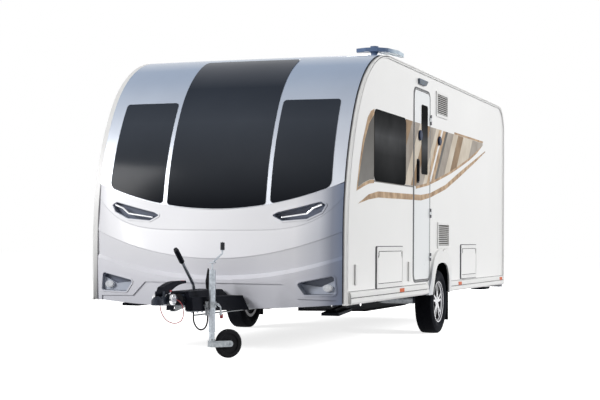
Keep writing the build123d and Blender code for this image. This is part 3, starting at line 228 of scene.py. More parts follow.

# %% [markdown]
# ## The finishes of the running gear
# Galvanised steel has spangles, the handbrake and the crank turn black at their grips, and a wheel
# is bright on its outer face and its rim only, with painted shade darkening it within. The amber of the side
# lamps turns grey above the skirt, where one of their solids is the awning lamp.

# %% Finishes of the chassis, wheels and drawbar
floor_board = finish("floor_board", (0.02, 0.02, 0.02), (0.04, 0.037, 0.033), 5, (0.6, 0.8), 250, 0.3,
                     Specular_IOR_Level=0.05)
galvanised = finish("galvanised", (0.20, 0.22, 0.24), (0.38, 0.40, 0.42), 45, (0.34, 0.55), 260, 0.15,
                    Metallic=0.7)
dark_steel = finish("dark_steel", (0.012, 0.014, 0.019), (0.026, 0.029, 0.036), 30, (0.5, 0.7), 260, 0.2,
                    Specular_IOR_Level=0.05)
grip_steel = finish("grip_steel", (0.22, 0.24, 0.28), (0.34, 0.36, 0.40), 45, (0.25, 0.4), 260, 0.1,
                    Metallic=0.6)
fade(grip_steel, "Z", [(0.40, (1, 1, 1)), (0.742, (0.03, 0.03, 0.035)), (1.0, (0, 0, 0))], soft=False)
crank_steel = finish("crank_steel", (0.30, 0.33, 0.37), (0.52, 0.56, 0.60), 45, (0.25, 0.4), 260, 0.1,
                     Metallic=0.6)
fade(crank_steel, "Z", [(0.10, (1, 1, 1)), (0.836, (0.03, 0.03, 0.035)), (1.0, (0, 0, 0))], soft=False)
bright_steel = finish("bright_steel", (0.62, 0.63, 0.65), (0.78, 0.78, 0.80), 30, (0.12, 0.22), 400, 0.02,
                      Metallic=1.0)
black_plastic = finish("black_plastic", (0.002, 0.003, 0.006), (0.006, 0.007, 0.012), 18, (0.45, 0.6),
                       700, 0.2, Specular_IOR_Level=0.06)
retainer_navy = finish("retainer_navy", (0.008, 0.016, 0.045), (0.016, 0.028, 0.066), 30, (0.35, 0.45),
                       500, 0.1, Specular_IOR_Level=0.1)
liner_black = finish("liner_black", (0.002, 0.003, 0.006), (0.005, 0.006, 0.010), 18, (0.7, 0.8), 300, 0.2,
                     Specular_IOR_Level=0.0)
hinge_grey = finish("hinge_grey", (0.20, 0.20, 0.22), (0.28, 0.28, 0.30), 18, (0.4, 0.5), 300, 0.05)
fade(hinge_grey, "Z", [(0.5, (1, 1, 1)), (1.87, (0.02, 0.03, 0.09)), (1.96, (1, 1, 1)), (2.4, (1, 1, 1))],
     soft=False)
casting = finish("casting", (0.008, 0.011, 0.020), (0.026, 0.032, 0.048), 60, (0.3, 0.42), 500, 0.3,
                 Metallic=0.3, Specular_IOR_Level=0.2, Coat_Weight=0.06)
rubber = finish("rubber", (0.008, 0.008, 0.010), (0.018, 0.018, 0.020), 25, (0.6, 0.8), 500, 0.2,
                Specular_IOR_Level=0.1)
tyre_rubber = finish("tyre_rubber", (0.006, 0.007, 0.010), (0.016, 0.017, 0.021), 14, (0.7, 0.85),
                     Specular_IOR_Level=0.04)
red_sheath = finish("red_sheath", (0.38, 0.004, 0.012), (0.46, 0.008, 0.020), 60, (0.3, 0.4), 700, 0.1)
amber = finish("amber", (0.58, 0.085, 0.003), (0.66, 0.11, 0.006), 40, (0.3, 0.4), Specular_IOR_Level=0.05)
fade(amber, "Z", [(0.4, (1, 1, 1)), (1.5, (0.21, 1.6, 42.0)), (2.6, (0.1, 0.1, 0.1))], soft=False)
red_lens = finish("red_lens", (0.42, 0.01, 0.01), (0.52, 0.02, 0.02), 30, (0.1, 0.18), Coat_Weight=0.5)
clear_lens = finish("clear_lens", (0.50, 0.52, 0.56), (0.72, 0.74, 0.78), 60, (0.05, 0.12), Coat_Weight=0.8)
alloy = finish("alloy", (0.50, 0.50, 0.52), (0.66, 0.66, 0.68), 30, (0.2, 0.3), 300, 0.03, Metallic=0.6)
# Painted shade inside the wheel: dark behind the spoke faces and in a ring between them and the rim.
fade(alloy, "X", [(0.80, (0.02, 0.02, 0.03)), (1.0660, (1, 1, 1)), (1.0767, (0.05, 0.05, 0.07)),
                  (1.0865, (1, 1, 1)), (1.2, (1, 1, 1))], soft=False, both_sides=True)
print(len(bpy.data.materials), "finishes")

# %% [markdown]
# ## Road tread
# The tyre's grooves run round it and the sipes cross them. Both are waves in the bump height, one
# along the axle and one in the angle about it, and only the running face carries them.

# %% Tread
tree = tyre_rubber.node_tree


def maths(operation, first, second=None):
    """One step of arithmetic between sockets or numbers."""
    node = tree.nodes.new("ShaderNodeMath")
    node.operation = operation
    for socket, value in zip(node.inputs, (first, second)):
        if isinstance(value, (int, float)):
            socket.default_value = value
        elif value is not None:
            tree.links.new(value, socket)
    return node.outputs[0]


AXLE = (0.556, 0.314)             # Y and Z of the wheel centres
TREAD_FROM = 0.300                # radius outside which the tyre carries its tread
GROOVES_ACROSS, GROOVE_WIDTH = 190, 0.72         # radians a metre, and the wave's height at an edge
SIPES_ROUND, SIPES_ACROSS, SIPE_WIDTH = 70, 120, 0.80
TREAD_DEPTH = 0.006
place = tree.nodes.new("ShaderNodeTexCoord")
split = tree.nodes.new("ShaderNodeSeparateXYZ")
tree.links.new(place.outputs["Object"], split.inputs[0])
across = maths("ABSOLUTE", split.outputs["X"])
ahead = maths("SUBTRACT", split.outputs["Y"], AXLE[0])
above = maths("SUBTRACT", split.outputs["Z"], AXLE[1])
angle = maths("ARCTAN2", above, ahead)
radius = maths("SQRT", maths("ADD", maths("MULTIPLY", ahead, ahead), maths("MULTIPLY", above, above)))
on_tread = maths("GREATER_THAN", radius, TREAD_FROM)
grooves = maths("GREATER_THAN", maths("SINE", maths("MULTIPLY", across, GROOVES_ACROSS)), GROOVE_WIDTH)
slanted = maths("ADD", maths("MULTIPLY", angle, SIPES_ROUND), maths("MULTIPLY", across, SIPES_ACROSS))
sipes = maths("GREATER_THAN", maths("SINE", slanted), SIPE_WIDTH)
cut = maths("MULTIPLY", on_tread, maths("MAXIMUM", grooves, sipes))
relief = tree.nodes.new("ShaderNodeBump")
relief.inputs["Distance"].default_value = TREAD_DEPTH
tree.links.new(maths("SUBTRACT", 1.0, cut), relief.inputs["Height"])
shader = tree.nodes["Principled BSDF"]
tree.links.new(relief.outputs["Normal"], shader.inputs["Normal"])
print("tread on", tyre_rubber.name)

# %% [markdown]
# ## Which part has which finish
# One table, read once. A part keeps its mesh, and only its material slots change.

# %% Dress the solid parts
WEARS = {
    gelcoat: "side_wall_nearside side_wall_offside roof_panel rear_panel service_locker_flap rear_hatch_flap",
    door_white: "entry_door",
    silver_blue: "front_panel_upper",
    moulding: "front_panel_lower",
    tray_grey: "front_recess_trays",
    pale_lilac: "rear_bumper",
    acrylic: "front_windows",
    side_acrylic: "body_windows door_window",
    white_trim: "awning_rails side_skirts hatch_frames",
    arch_white: "wheel_arch_trims",
    vent_white: "fridge_vents",
    floor_board: "floor_panel",
    galvanised: "a_frame cross_members axle_tube brake_rod jockey_clamp jockey_fork",
    dark_steel: ("chassis_members steady_front_nearside steady_front_offside steady_rear_nearside "
                 "steady_rear_offside steady_brackets"),
    grip_steel: "handbrake_lever",
    crank_steel: "jockey_outer_tube jockey_inner_tube",
    bright_steel: "front_grab_bars",
    black_plastic: "door_handle_and_knob a_frame_cover coupling_lever",
    liner_black: "wheel_boxes",
    hinge_grey: "door_hinges_and_catch",
    casting: "coupling_head overrun_housing suspension_arms",
    rubber: "mudflaps bellows jockey_wheel electric_plug electric_lead",
    tyre_rubber: "tyre_nearside tyre_offside",
    red_sheath: "safety_cable",
    amber: "side_lamps",
    red_lens: "rear_lamps",
    clear_lens: "front_lamps",
    dome: "roof_lights_and_vents",
    aerial_blue: "roof_aerial",
    alloy: "wheel_nearside wheel_offside",
}
for material, names in WEARS.items():
    for name in names.split():
        nodes[name].data.materials.clear()
        nodes[name].data.materials.append(material)
dressed = {name for names in WEARS.values() for name in names.split()}
print("undressed parts:", sorted(set(nodes) - dressed))

# %% [markdown]
# ## Cords
# The electric lead hangs in a loop under the drawbar from its hole to the plug parked on the
# cover, and the red safety cable hangs below the coupling. Each is one smooth curve with a round
# section, through the same points as its solid. The cable is a little thicker than its solid.

# %% A helper that hangs a cord


def hang(name, route, radius, material):
    """A round cord on one smooth spline through a route given in millimetres."""
    curve = bpy.data.curves.new(name, "CURVE")
    curve.dimensions = "3D"
    curve.bevel_depth, curve.bevel_resolution, curve.resolution_u = radius / 1000, 4, 8
    curve.use_fill_caps = True
    spline = curve.splines.new("NURBS")
    spline.points.add(len(route) - 1)
    for point, (x, y, z) in zip(spline.points, route):
        point.co = (x / 1000, y / 1000, z / 1000, 1)
    spline.order_u = 3
    spline.use_endpoint_u = True
    curve.materials.append(material)
    cord = bpy.data.objects.new(name, curve)
    bpy.context.collection.objects.link(cord)
    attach(cord, "caravan")
    print(name, "through", len(route), "points")
    return cord


# %% The electric lead and the safety cable
LEAD_ROUTE = [
    (-62, -2842, 404), (-65, -2838, 360), (-70, -2832, 314), (-70, -2830, 268), (-52, -2828, 226),
    (-16, -2830, 196), (28, -2830, 208), (50, -2831, 250), (54, -2829, 298), (51, -2830, 346),
    (52, -2831, 394), (55, -2829, 442), (54, -2830, 488), (54, -2829.5, 527.5)]
SAFETY_ROUTE = [
    (45, -3402, 462), (65, -3399, 452), (76, -3385, 436), (74, -3352, 405), (70, -3328, 368),
    (66, -3322, 330), (64, -3348, 302), (60, -3398, 288), (54, -3456, 285), (47, -3516, 296),
    (41, -3568, 315), (36, -3608, 342), (33, -3636, 374), (31, -3653, 402), (30, -3657, 426)]
LEAD_RADIUS, SAFETY_RADIUS = 6.5, 3.5             # mm
lead = hang("lead", LEAD_ROUTE, LEAD_RADIUS, rubber)
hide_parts("electric_lead")
safety = hang("safety", SAFETY_ROUTE, SAFETY_RADIUS, red_sheath)
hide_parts("safety_cable")

# %% [markdown]
# ## Flat pieces on the walls
# A foil, a seal or a blank plate is an outline with a little thickness. `flat` fills a closed
# curve, makes a mesh of it and only then turns it into its place on a wall.

# %% A helper that makes a flat piece
TURNS = {"X": Matrix(((0, 0, 1), (1, 0, 0), (0, 1, 0))), "Y": Matrix(((1, 0, 0), (0, 0, 1), (0, 1, 0)))}


def flat(name, outlines, faces, place, thick, material, body="caravan"):
    """Closed outlines in metres, filled; faces is the way they look: X or Y."""
    curve = bpy.data.curves.new(name, "CURVE")
    curve.dimensions, curve.fill_mode, curve.extrude = "2D", "BOTH", thick / 2
    for outline in outlines:
        spline = curve.splines.new("POLY")
        spline.points.add(len(outline) - 1)
        spline.use_cyclic_u = True
        for point, (u, v) in zip(spline.points, outline):
            point.co = (u, v, 0, 1)
    piece = bpy.data.objects.new(name, curve)
    bpy.context.collection.objects.link(piece)
    bpy.ops.object.select_all(action="DESELECT")
    piece.select_set(True)
    bpy.context.view_layer.objects.active = piece
    bpy.ops.object.convert(target="MESH")
    piece.matrix_world = Matrix.Translation(place) @ TURNS[faces].to_4x4()
    bpy.ops.object.transform_apply(location=True, rotation=True, scale=True)
    if faces == "Y":
        bpy.ops.object.mode_set(mode="EDIT")
        bpy.ops.mesh.select_all(action="SELECT")
        bpy.ops.mesh.normals_make_consistent(inside=False)
        bpy.ops.object.mode_set(mode="OBJECT")
    piece.select_set(False)
    piece.data.materials.append(material)
    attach(piece, body)


CORNER_STEPS = 5                  # straight lines in a rounded corner


def box_outline(low, high, grow=0.0, radius=0.0):
    """A rectangle, grown all round, with its corners cut to a radius."""
    (u0, v0), (u1, v1) = (low[0] - grow, low[1] - grow), (high[0] + grow, high[1] + grow)
    if not radius:
        return [(u0, v0), (u1, v0), (u1, v1), (u0, v1)]
    outline = []
    for u, v, start in ((u1, v0, -90), (u1, v1, 0), (u0, v1, 90), (u0, v0, 180)):
        centre_u = u - radius if u == u1 else u + radius
        centre_v = v - radius if v == v1 else v + radius
        for step in range(CORNER_STEPS + 1):
            turn = math.radians(start + 90 // CORNER_STEPS * step)
            outline.append((centre_u + radius * math.cos(turn), centre_v + radius * math.sin(turn)))
    return outline


print("ready to cut flat pieces")

# %% [markdown]
# ## Small solid pieces
# Bolts, knobs and pads start as primitives. They are shaped while in edit mode, so the finished
# piece sits at the origin with its place in the mesh.

# %% Helpers for boxes and round pieces


def settle(piece, name, material, body, bevel):
    """Bevel, apply, name and attach a piece that was shaped in edit mode."""
    piece.name = name
    if bevel:
        soften = piece.modifiers.new("soften", "BEVEL")
        soften.width, soften.segments = bevel, 2
        bpy.ops.object.modifier_apply(modifier="soften")
    bpy.ops.object.transform_apply(location=True, rotation=True, scale=True)
    piece.data.materials.append(material)
    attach(piece, body)


def slab(name, low, high, material, body="caravan", bevel=0.001):
    """A box between two corners."""
    bpy.ops.object.select_all(action="DESELECT")
    low, high = [[pick(pair) for pair in zip(low, high)] for pick in (min, max)]
    centre = [(a + b) / 2 for a, b in zip(low, high)]
    bpy.ops.mesh.primitive_cube_add(size=1, location=centre)
    piece = bpy.context.object
    bpy.ops.object.mode_set(mode="EDIT")
    bpy.ops.transform.resize(value=[b - a for a, b in zip(low, high)])
    bpy.ops.object.mode_set(mode="OBJECT")
    settle(piece, name, material, body, bevel)


def disc(name, place, axis, radius, length, material, body="caravan", sides=32, bevel=0.001):
    """A cylinder centred on a point, along an axis."""
    bpy.ops.object.select_all(action="DESELECT")
    turn = Vector(axis).to_track_quat("Z", "Y").to_euler()
    bpy.ops.mesh.primitive_cylinder_add(vertices=sides, radius=radius, depth=length,
                                        location=place, rotation=turn)
    settle(bpy.context.object, name, material, body, bevel)


print("ready to add small pieces")

# %% [markdown]
# ## Seals
# A grey seal frames the door and another runs round its leaf. A dark one lies in the gap round
# each hatch's flap, whose upper corners are cut away for two small locks.

# %% Door frame and hatch seals
WALL = 1.115                      # outer face of the side walls
ON_FRAME, ON_LEAF, IN_GAP = WALL + 0.0012, WALL + 0.0044, WALL + 0.0030
DOOR = ((-0.518, 0.552), (0.070, 2.343))
DOOR_LEAF = (DOOR[0], (DOOR[1][0] - 0.012, DOOR[1][1]))          # ends short of the hinges
flat("door_frame_seal", [box_outline(*DOOR, 0.021, 0.085), box_outline(*DOOR, 0.008, 0.072)], "X",
     (ON_FRAME, 0, 0), 0.002, seal_grey)
flat("door_edge_seal", [box_outline(*DOOR_LEAF, -0.001, 0.063), box_outline(*DOOR_LEAF, -0.007, 0.057)],
     "X", (ON_LEAF, 0, 0), 0.0012, seal_grey, "entry_door")
HATCHES = {"locker": ((-1.719, 0.515), (-0.887, 0.868)), "rear_hatch": ((1.398, 0.526), (2.150, 0.881))}
HATCH_RIM = 0.042                 # width of the frame round a flap
CUT_WIDE, CUT_LOW, CUT_HIGH = 0.026, 0.062, 0.036                # corner taken off a flap
LOCK_WIDE, LOCK_TALL = 0.022, 0.030


def flap_outline(low, high, grow):
    """A flap whose upper corners are cut away for its locks."""
    (u0, v0), (u1, v1) = (low[0] - grow, low[1] - grow), (high[0] + grow, high[1] + grow)
    inner = u1 - CUT_WIDE - grow
    half = [(u1, v1 - CUT_LOW - grow), (inner, v1 - CUT_HIGH - grow), (inner, v1)]
    return [(u0, v0), (u1, v0)] + half + [(u0 + u1 - u, v) for u, v in reversed(half)]


for name, (low, high) in HATCHES.items():
    flap = ((low[0] + HATCH_RIM, low[1] + HATCH_RIM), (high[0] - HATCH_RIM, high[1] - HATCH_RIM))
    flat(name + "_seal", [flap_outline(*flap, 0.0048), flap_outline(*flap, 0.0012)], "X",
         (IN_GAP, 0, 0), 0.006, seal_dark)
    # Dark line round each frame: a seal line, with painted shade of the frame's front flank where it is
    # widened on the front side.
    outer = box_outline((low[0] - 0.018, low[1]), high, 0.006, 0.022)
    inner = box_outline(low, high, -0.001, 0.016)
    flat(name + "_frame_seal_and_shade_line", [outer, inner], "X", (ON_FRAME, 0, 0), 0.002, seal_dark)
    top = flap[1][1]
    for side, corner in (("front", flap[0][0]), ("rear", flap[1][0] - LOCK_WIDE)):
        pad = box_outline((corner, top - LOCK_TALL), (corner + LOCK_WIDE, top + 0.002))
        flat(f"{name}_lock_pad_{side}", [pad], "X", (WALL - 0.006, 0, 0), 0.020, white_trim)
        lock = box_outline((corner + 0.004, top - 0.022), (corner + 0.018, top - 0.006), 0, 0.006)
        flat(f"{name}_lock_{side}", [lock], "X", (WALL + 0.0045, 0, 0), 0.003, seal_dark)
print("seals and locks:", len(HATCHES) * 6 + 2)

# %% [markdown]
# ## Wheel arches, skirts and corners
# A smooth lip and a black liner cover the cut edges inside each arch. Dark beads run along the
# skirts. Up the nearside front corner beside the mouldings the beads are dark, painted shade of the groove
# there, and the offside corner has white ones with a cover strip. The orange side markers get their full
# lenses.

# %% Outlines of an arch and of the front wall
ARCH_MIDDLE = (0.52, 0.44)
ARCH_EDGE = [(0.2470, 0.600), (0.2615, 0.636), (0.2930, 0.668), (0.3500, 0.6930), (0.4400, 0.7050),
             (0.5300, 0.7070), (0.6200, 0.6990), (0.7000, 0.6760), (0.7540, 0.6330), (0.7830, 0.5850),
             (0.7970, 0.540)]
ARCH_FRONT, ARCH_REAR = (0.124, 0.408), (0.803, 0.408)           # feet of the arch
NOSE_Y, NOSE_TOP = -2.544, 0.960  # the upright part of the front wall
NOSE_ARCS = [((-0.444, 0.960), 2.1, 180, 150), ((-1.3706, 1.495), 1.03, 150, 90)]
NOSE_STEPS = 12


def arch(grow):
    """The smooth inner edge of a wheel arch, moved outwards from its middle."""
    edge = []
    for y, z in [ARCH_FRONT] + ARCH_EDGE + [ARCH_REAR]:
        along, up = y - ARCH_MIDDLE[0], z - ARCH_MIDDLE[1]
        reach = math.hypot(along, up)
        edge.append((y + along / reach * grow, z + up / reach * grow))
    return edge


def profile(proud, low):
    """The front wall's side view from its foot over into the roof."""
    points = [(NOSE_Y - proud, low), (NOSE_Y - proud, NOSE_TOP)]
    for (y, z), radius, start, end in NOSE_ARCS:
        for step in range(1, NOSE_STEPS + 1):
            turn = math.radians(start + (end - start) * step / NOSE_STEPS)
            points.append((y + (radius + proud) * math.cos(turn), z + (radius + proud) * math.sin(turn)))
    return points


def strip(outer, inner):
    """The outline of a strip between two open lines."""
    return [outer + list(reversed(inner))]


print("arch and front wall outlined")

# %% Arch liners, beads and markers
BEAD_FOOT, RAIL_FOOT = 0.42, 0.52
SKIRTS = ((-2.478, -0.062), (0.905, 3.598))       # Y from and to, ahead of the wheel and behind it
MARKERS = (-0.977, 1.289, 3.416)                  # Y
PADS = ((-2.302, 0.563, 0.728), (-0.680, 0.552, 0.731))          # Y, foot and top
for side, sign in (("near", 1), ("off", -1)):
    flat(f"arch_lip_{side}", strip(arch(0)[1:-1], arch(0.030)[1:-1]), "X", (sign * 1.1274, 0, 0), 0.0248,
         arch_white)
    flat(f"arch_liner_{side}", strip(arch(-0.0015), arch(0.006)), "X", (sign * 1.100, 0, 0), 0.050,
         liner_black)
    # Dark nearside beads are painted shade of the groove beside the mouldings; the offside ones are white.
    bead = seal_dark if side == "near" else white_trim
    flat(f"corner_bead_{side}", strip(profile(0.010, BEAD_FOOT), profile(0.002, BEAD_FOOT)), "X",
         (sign * 1.0868, 0, 0), 0.0036, bead)
    flat(f"rail_bead_{side}", strip(profile(-0.001, RAIL_FOOT), profile(-0.006, RAIL_FOOT)), "X",
         (sign * 1.1215, 0, 0), 0.002, bead)
    if side == "off":
        flat("edge_cover_off", strip(profile(0.011, BEAD_FOOT), profile(-0.002, BEAD_FOOT)), "X",
             (-1.1010, 0, 0), 0.0270, white_trim)
    for index, (y0, y1) in enumerate(SKIRTS):
        slab(f"skirt_bead_{side}_{index}", [sign * 1.1345, y0, 0.4568], [sign * 1.1335, y1, 0.4612],
             seal_dark, bevel=0)
        slab(f"skirt_top_{side}_{index}", [sign * 1.1150, y0, 0.5100], [sign * 1.1168, y1, 0.5136],
             seal_grey, bevel=0)
    for index, y in enumerate(MARKERS):
        slab(f"marker_{side}_{index}", [sign * 1.1345, y - 0.072, 0.463], [sign * 1.1398, y + 0.072, 0.496],
             amber, bevel=0.0015)
    for index, (y, z0, z1) in enumerate(PADS):
        slab(f"pad_{side}_{index}", [sign * 1.1150, y - 0.030, z0], [sign * 1.1290, y + 0.030, z1],
             white_trim, bevel=0.005)
print("arches, skirts and corners done")

# %% [markdown]
# ## Stripes and panels of colour
# The wall wears a broad band of bronze, beige and taupe panes that sweeps up to the rear, and a
# thin gold swoosh under it. The door carries its own share of both, so they part when it opens.

# %% Foils
gold = finish("gold", (0.27, 0.165, 0.090), (0.60, 0.44, 0.29), 9, (0.35, 0.45), Specular_IOR_Level=0.05)
bronze = finish("bronze", (0.20, 0.130, 0.075), (0.34, 0.240, 0.150), 5, (0.4, 0.5), Specular_IOR_Level=0.05)
beige = finish("beige", (0.50, 0.43, 0.34), (0.68, 0.62, 0.53), 4, (0.4, 0.5), Specular_IOR_Level=0.05)
taupe = finish("taupe", (0.26, 0.225, 0.19), (0.42, 0.38, 0.335), 4, (0.4, 0.5), Specular_IOR_Level=0.05)
graphite = finish("graphite", (0.105, 0.100, 0.093), (0.165, 0.160, 0.150), 3, (0.4, 0.5),
                  Specular_IOR_Level=0.05)
fade(graphite, "Z", [(1.3, (1.5, 1.5, 1.5)), (2.05, (0.6, 0.6, 0.6))])
print("foils in five colours")

# %% [markdown]
# The panes lie between slanted lines. Each is cut to the length of wall or door that carries it.

# %% Band
BAND_TOP = 2.030
BAND_FOOT = [(-1.80, 1.432), (-0.457, 1.432), (0.003, 1.481), (0.45, 1.553), (0.911, 1.635), (1.35, 1.727),
             (1.788, 1.825), (2.15, 1.920), (2.498, 2.019)]
LEAN = 0.92                       # how far a line leans back for its rise
PANE_STEPS = 8
FOIL = 0.0008                     # thickness of a foil
ON_WALL, ON_DOOR = WALL + 0.0006, WALL + 0.0046
# what carries a foil: the ending of its name, body, X, and the Y it starts and ends at
BEHIND = [("door", "entry_door", ON_DOOR, -0.510, 0.062), ("rear", "caravan", ON_WALL, 0.093, 2.6)]
BAND_CARRIERS = [("front", "caravan", ON_WALL, -0.806, -0.541)] + BEHIND
SWOOSH_CARRIERS = [("wall", "caravan", ON_WALL, -2.45, -0.541)] + BEHIND


def foot_of(table, y):
    """Height on a table of (Y, Z) points."""
    for (y0, z0), (y1, z1) in zip(table, table[1:]):
        if y <= y1:
            return z0 + (z1 - z0) * max(0, y - y0) / (y1 - y0)
    return table[-1][1]


def clip(outline, edge, keep_above):
    """The part of an outline on one side of an upright line."""
    kept = []
    sign = 1 if keep_above else -1
    for (y0, z0), (y1, z1) in zip(outline, outline[1:] + outline[:1]):
        inside0, inside1 = sign * (y0 - edge) >= 0, sign * (y1 - edge) >= 0
        if inside0:
            kept.append((y0, z0))
        if inside0 != inside1:
            share = (edge - y0) / (y1 - y0)
            kept.append((edge, z0 + share * (z1 - z0)))
    return kept


def foil(name, outline, material, carriers):
    """One pane or stripe, laid on every carrier it reaches."""
    laid = 0
    for place, body, x, start, end in carriers:
        piece = clip(clip(outline, start, True), end, False)
        if len(piece) > 2:
            flat(f"{name}_{place}", [piece], "X", (x, 0, 0), FOIL, material, body)
            laid += 1
    return laid


def pane(foot_from, foot_to):
    """Outline of a pane between two leaning lines."""
    steps = [foot_from + (foot_to - foot_from) * step / PANE_STEPS for step in range(PANE_STEPS + 1)]
    foot = [(y, min(foot_of(BAND_FOOT, y), BAND_TOP - 0.004)) for y in steps]
    return foot + [(y + LEAN * (BAND_TOP - z), BAND_TOP) for y, z in (foot[-1], foot[0])]


PANES = [
    ("pane_1", -1.50, -1.12, bronze), ("pane_2", -1.12, -0.86, taupe), ("pane_3", -0.86, -0.63, beige),
    ("pane_4", -0.63, -0.46, bronze), ("pane_5", -0.46, -0.20, taupe), ("pane_6", -0.20, -0.06, beige),
    ("pane_7", -0.06, 0.05, gold), ("pane_8", 0.13, 0.26, gold), ("pane_9", 0.26, 0.36, graphite),
    ("pane_10", 0.36, 0.66, taupe), ("pane_11", 0.66, 0.90, beige), ("pane_12", 0.90, 1.20, bronze),
    ("pane_13", 1.20, 1.75, beige), ("pane_14", 1.75, 2.45, taupe)]
print("panes:", sum(foil(name, pane(start, end), material, BAND_CARRIERS)
                    for name, start, end, material in PANES))

# %% [markdown]
# The swoosh thins to a point at both ends. Gold edges run along the panes and up the front of the
# dark pane that carries the window's line forward.

# %% Swoosh, edges and the dark pane
SWOOSH_LOW = [
    (-2.247, 1.219), (-1.95, 1.262), (-1.679, 1.286), (-0.937, 1.296), (-0.27, 1.303), (0.097, 1.342),
    (0.721, 1.445), (1.268, 1.580), (2.10, 1.800), (2.902, 2.022)]
SWOOSH_HIGH = [
    (2.10, 1.832), (1.268, 1.632), (0.721, 1.491), (0.097, 1.385), (-0.27, 1.356), (-0.937, 1.348),
    (-1.679, 1.339), (-1.95, 1.304)]
FRONT_PANE = [
    (-2.256, 1.352), (-2.200, 1.50), (-2.080, 1.735), (-1.945, 1.898), (-1.800, 1.986), (-1.800, 1.436),
    (-1.93, 1.428), (-2.08, 1.400)]
FRONT_EDGE = [
    (-2.290, 1.322), (-2.222, 1.53), (-2.125, 1.748), (-1.990, 1.943), (-1.900, 2.004), (-1.800, 2.032),
    (-1.800, 1.988), (-1.945, 1.900), (-2.080, 1.735), (-2.200, 1.50), (-2.258, 1.350), (-2.08, 1.398),
    (-1.93, 1.426), (-1.800, 1.434), (-1.800, 1.404), (-1.93, 1.396), (-2.08, 1.368)]
WINDOW_FOOT = [(-1.80, 1.416), (-0.80, 1.416), (-0.545, 1.416), (-0.545, 1.430), (-1.80, 1.430)]
TOP_EDGE = [(1.10, BAND_TOP), (2.50, BAND_TOP), (2.46, BAND_TOP - 0.022), (1.08, BAND_TOP - 0.022)]
foot_line = BAND_FOOT[1:]
laid = foil("swoosh", SWOOSH_LOW + SWOOSH_HIGH, gold, SWOOSH_CARRIERS)
laid += foil("lower_edge", foot_line + [(y, z - 0.026) for y, z in reversed(foot_line[:-1])], gold,
             SWOOSH_CARRIERS)
laid += foil("top_edge", [(y, z + 0.024) for y, z in TOP_EDGE], gold, SWOOSH_CARRIERS)
for name, outline, material in (("front_pane", FRONT_PANE, graphite), ("front_edge", FRONT_EDGE, gold),
                                ("window_foot_edge", WINDOW_FOOT, graphite)):
    flat(name, [outline], "X", (ON_WALL, 0, 0), FOIL, material)
    laid += 1
print("edges and swoosh:", laid)

# %% [markdown]
# ## Vents
# Behind the white slats of each fridge vent there is a dark brown gauze, and a dark line shows
# between each slat and the next.

# %% Vent gauze
VENTS = [((0.306, 2.154), (0.780, 2.406)), ((0.384, 0.848), (0.858, 1.109))]
SLAT_PITCH, GAP_FOOT, GAP_TOP = 0.0195, 0.003, 0.009
VENT_RIM = 0.028
for index, (low, high) in enumerate(VENTS):
    flat(f"vent_gauze_{index}", [box_outline(low, high, -0.0295)], "X", (WALL - 0.004, 0, 0), 0.003,
         vent_dark)
    hole_low, hole_high = (low[0] + VENT_RIM, low[1] + VENT_RIM), (high[0] - VENT_RIM, high[1] - VENT_RIM)
    start, end = hole_low[0] + 0.002, hole_high[0] - 0.002
    slats = int((hole_high[1] - hole_low[1]) / SLAT_PITCH)
    feet = [hole_low[1] + (step + 0.5) * SLAT_PITCH for step in range(slats)]
    gaps = [box_outline((start, foot + GAP_FOOT), (end, foot + GAP_TOP)) for foot in feet]
    flat(f"vent_gaps_{index}", gaps, "X", (WALL + 0.0070, 0, 0), 0.0012, vent_dark)
    print("vent", index, "with", slats, "gaps")

# %% [markdown]
# ## Door retainer
# A dark cap on the door meets its catch on the wall when the door stands open.

# %% Retainer caps
CAP_Z, CAP_THICK = 1.915, 0.022
ACROSS = (1, 0, 0)
disc("retainer_door", (WALL + 0.0155, -0.338, CAP_Z), ACROSS, 0.050, CAP_THICK, retainer_navy, "entry_door",
     bevel=0.008)
disc("retainer_wall", (WALL + 0.0115, 0.424, CAP_Z), ACROSS, 0.046, CAP_THICK, retainer_navy, bevel=0.008)
print("retainer caps placed")

# %% [markdown]
# ## The coupling
# Bright friction pads with their bolts on both sides of the black head, a band round the cup at
# its tip, red inserts in the handle, and the grip and the two bent lengths of the handbrake.

# %% Coupling details
PAD_Y, PAD_Z = -3.522, 0.468
BOLT_CIRCLE, BOLTS = 0.027, 4
UPPER_WAY, LOWER_WAY = (0, -0.771, 0.637), (0, -0.359, 0.933)    # the two bent lengths of the lever
BRAKE_X, ROD_RADIUS = -0.060, 0.0125
for side, sign in (("near", 1), ("off", -1)):
    disc(f"pad_disc_{side}", (sign * 0.0710, PAD_Y, PAD_Z), ACROSS, 0.041, 0.022, bright_steel)
    for index in range(BOLTS):
        turn = math.radians(45 + 360 / BOLTS * index)
        bolt = (sign * 0.0835, PAD_Y + BOLT_CIRCLE * math.cos(turn), PAD_Z + BOLT_CIRCLE * math.sin(turn))
        disc(f"pad_bolt_{side}_{index}", bolt, ACROSS, 0.0055, 0.007, bright_steel, sides=6, bevel=0.0005)
disc("cup_band", (0, -3.639, 0.446), (0, 0, 1), 0.0470, 0.006, casting, sides=48)
disc("handbrake_grip", (BRAKE_X, -3.137, 0.788), UPPER_WAY, 0.0205, 0.150, black_plastic, "handbrake_lever",
     bevel=0.006)
disc("handbrake_rod_upper", (BRAKE_X, -2.9735, 0.653), UPPER_WAY, ROD_RADIUS, 0.273, grip_steel,
     "handbrake_lever")
disc("handbrake_rod_lower", (BRAKE_X, -2.8545, 0.531), LOWER_WAY, ROD_RADIUS, 0.080, grip_steel,
     "handbrake_lever")
slab("handle_red_top", (-0.017, -3.206, 0.5785), (0.017, -3.1795, 0.6015), red_sheath, "coupling_lever",
     0.003)
slab("handle_red_foot", (-0.0235, -3.475, 0.522), (0.0235, -3.440, 0.536), red_sheath, "coupling_lever",
     0.002)
print("coupling dressed")

# %% [markdown]
# ## The drawbar
# The jockey clamp has a bent handle with a red knob; the tube a collar; the overrun housing bolts.

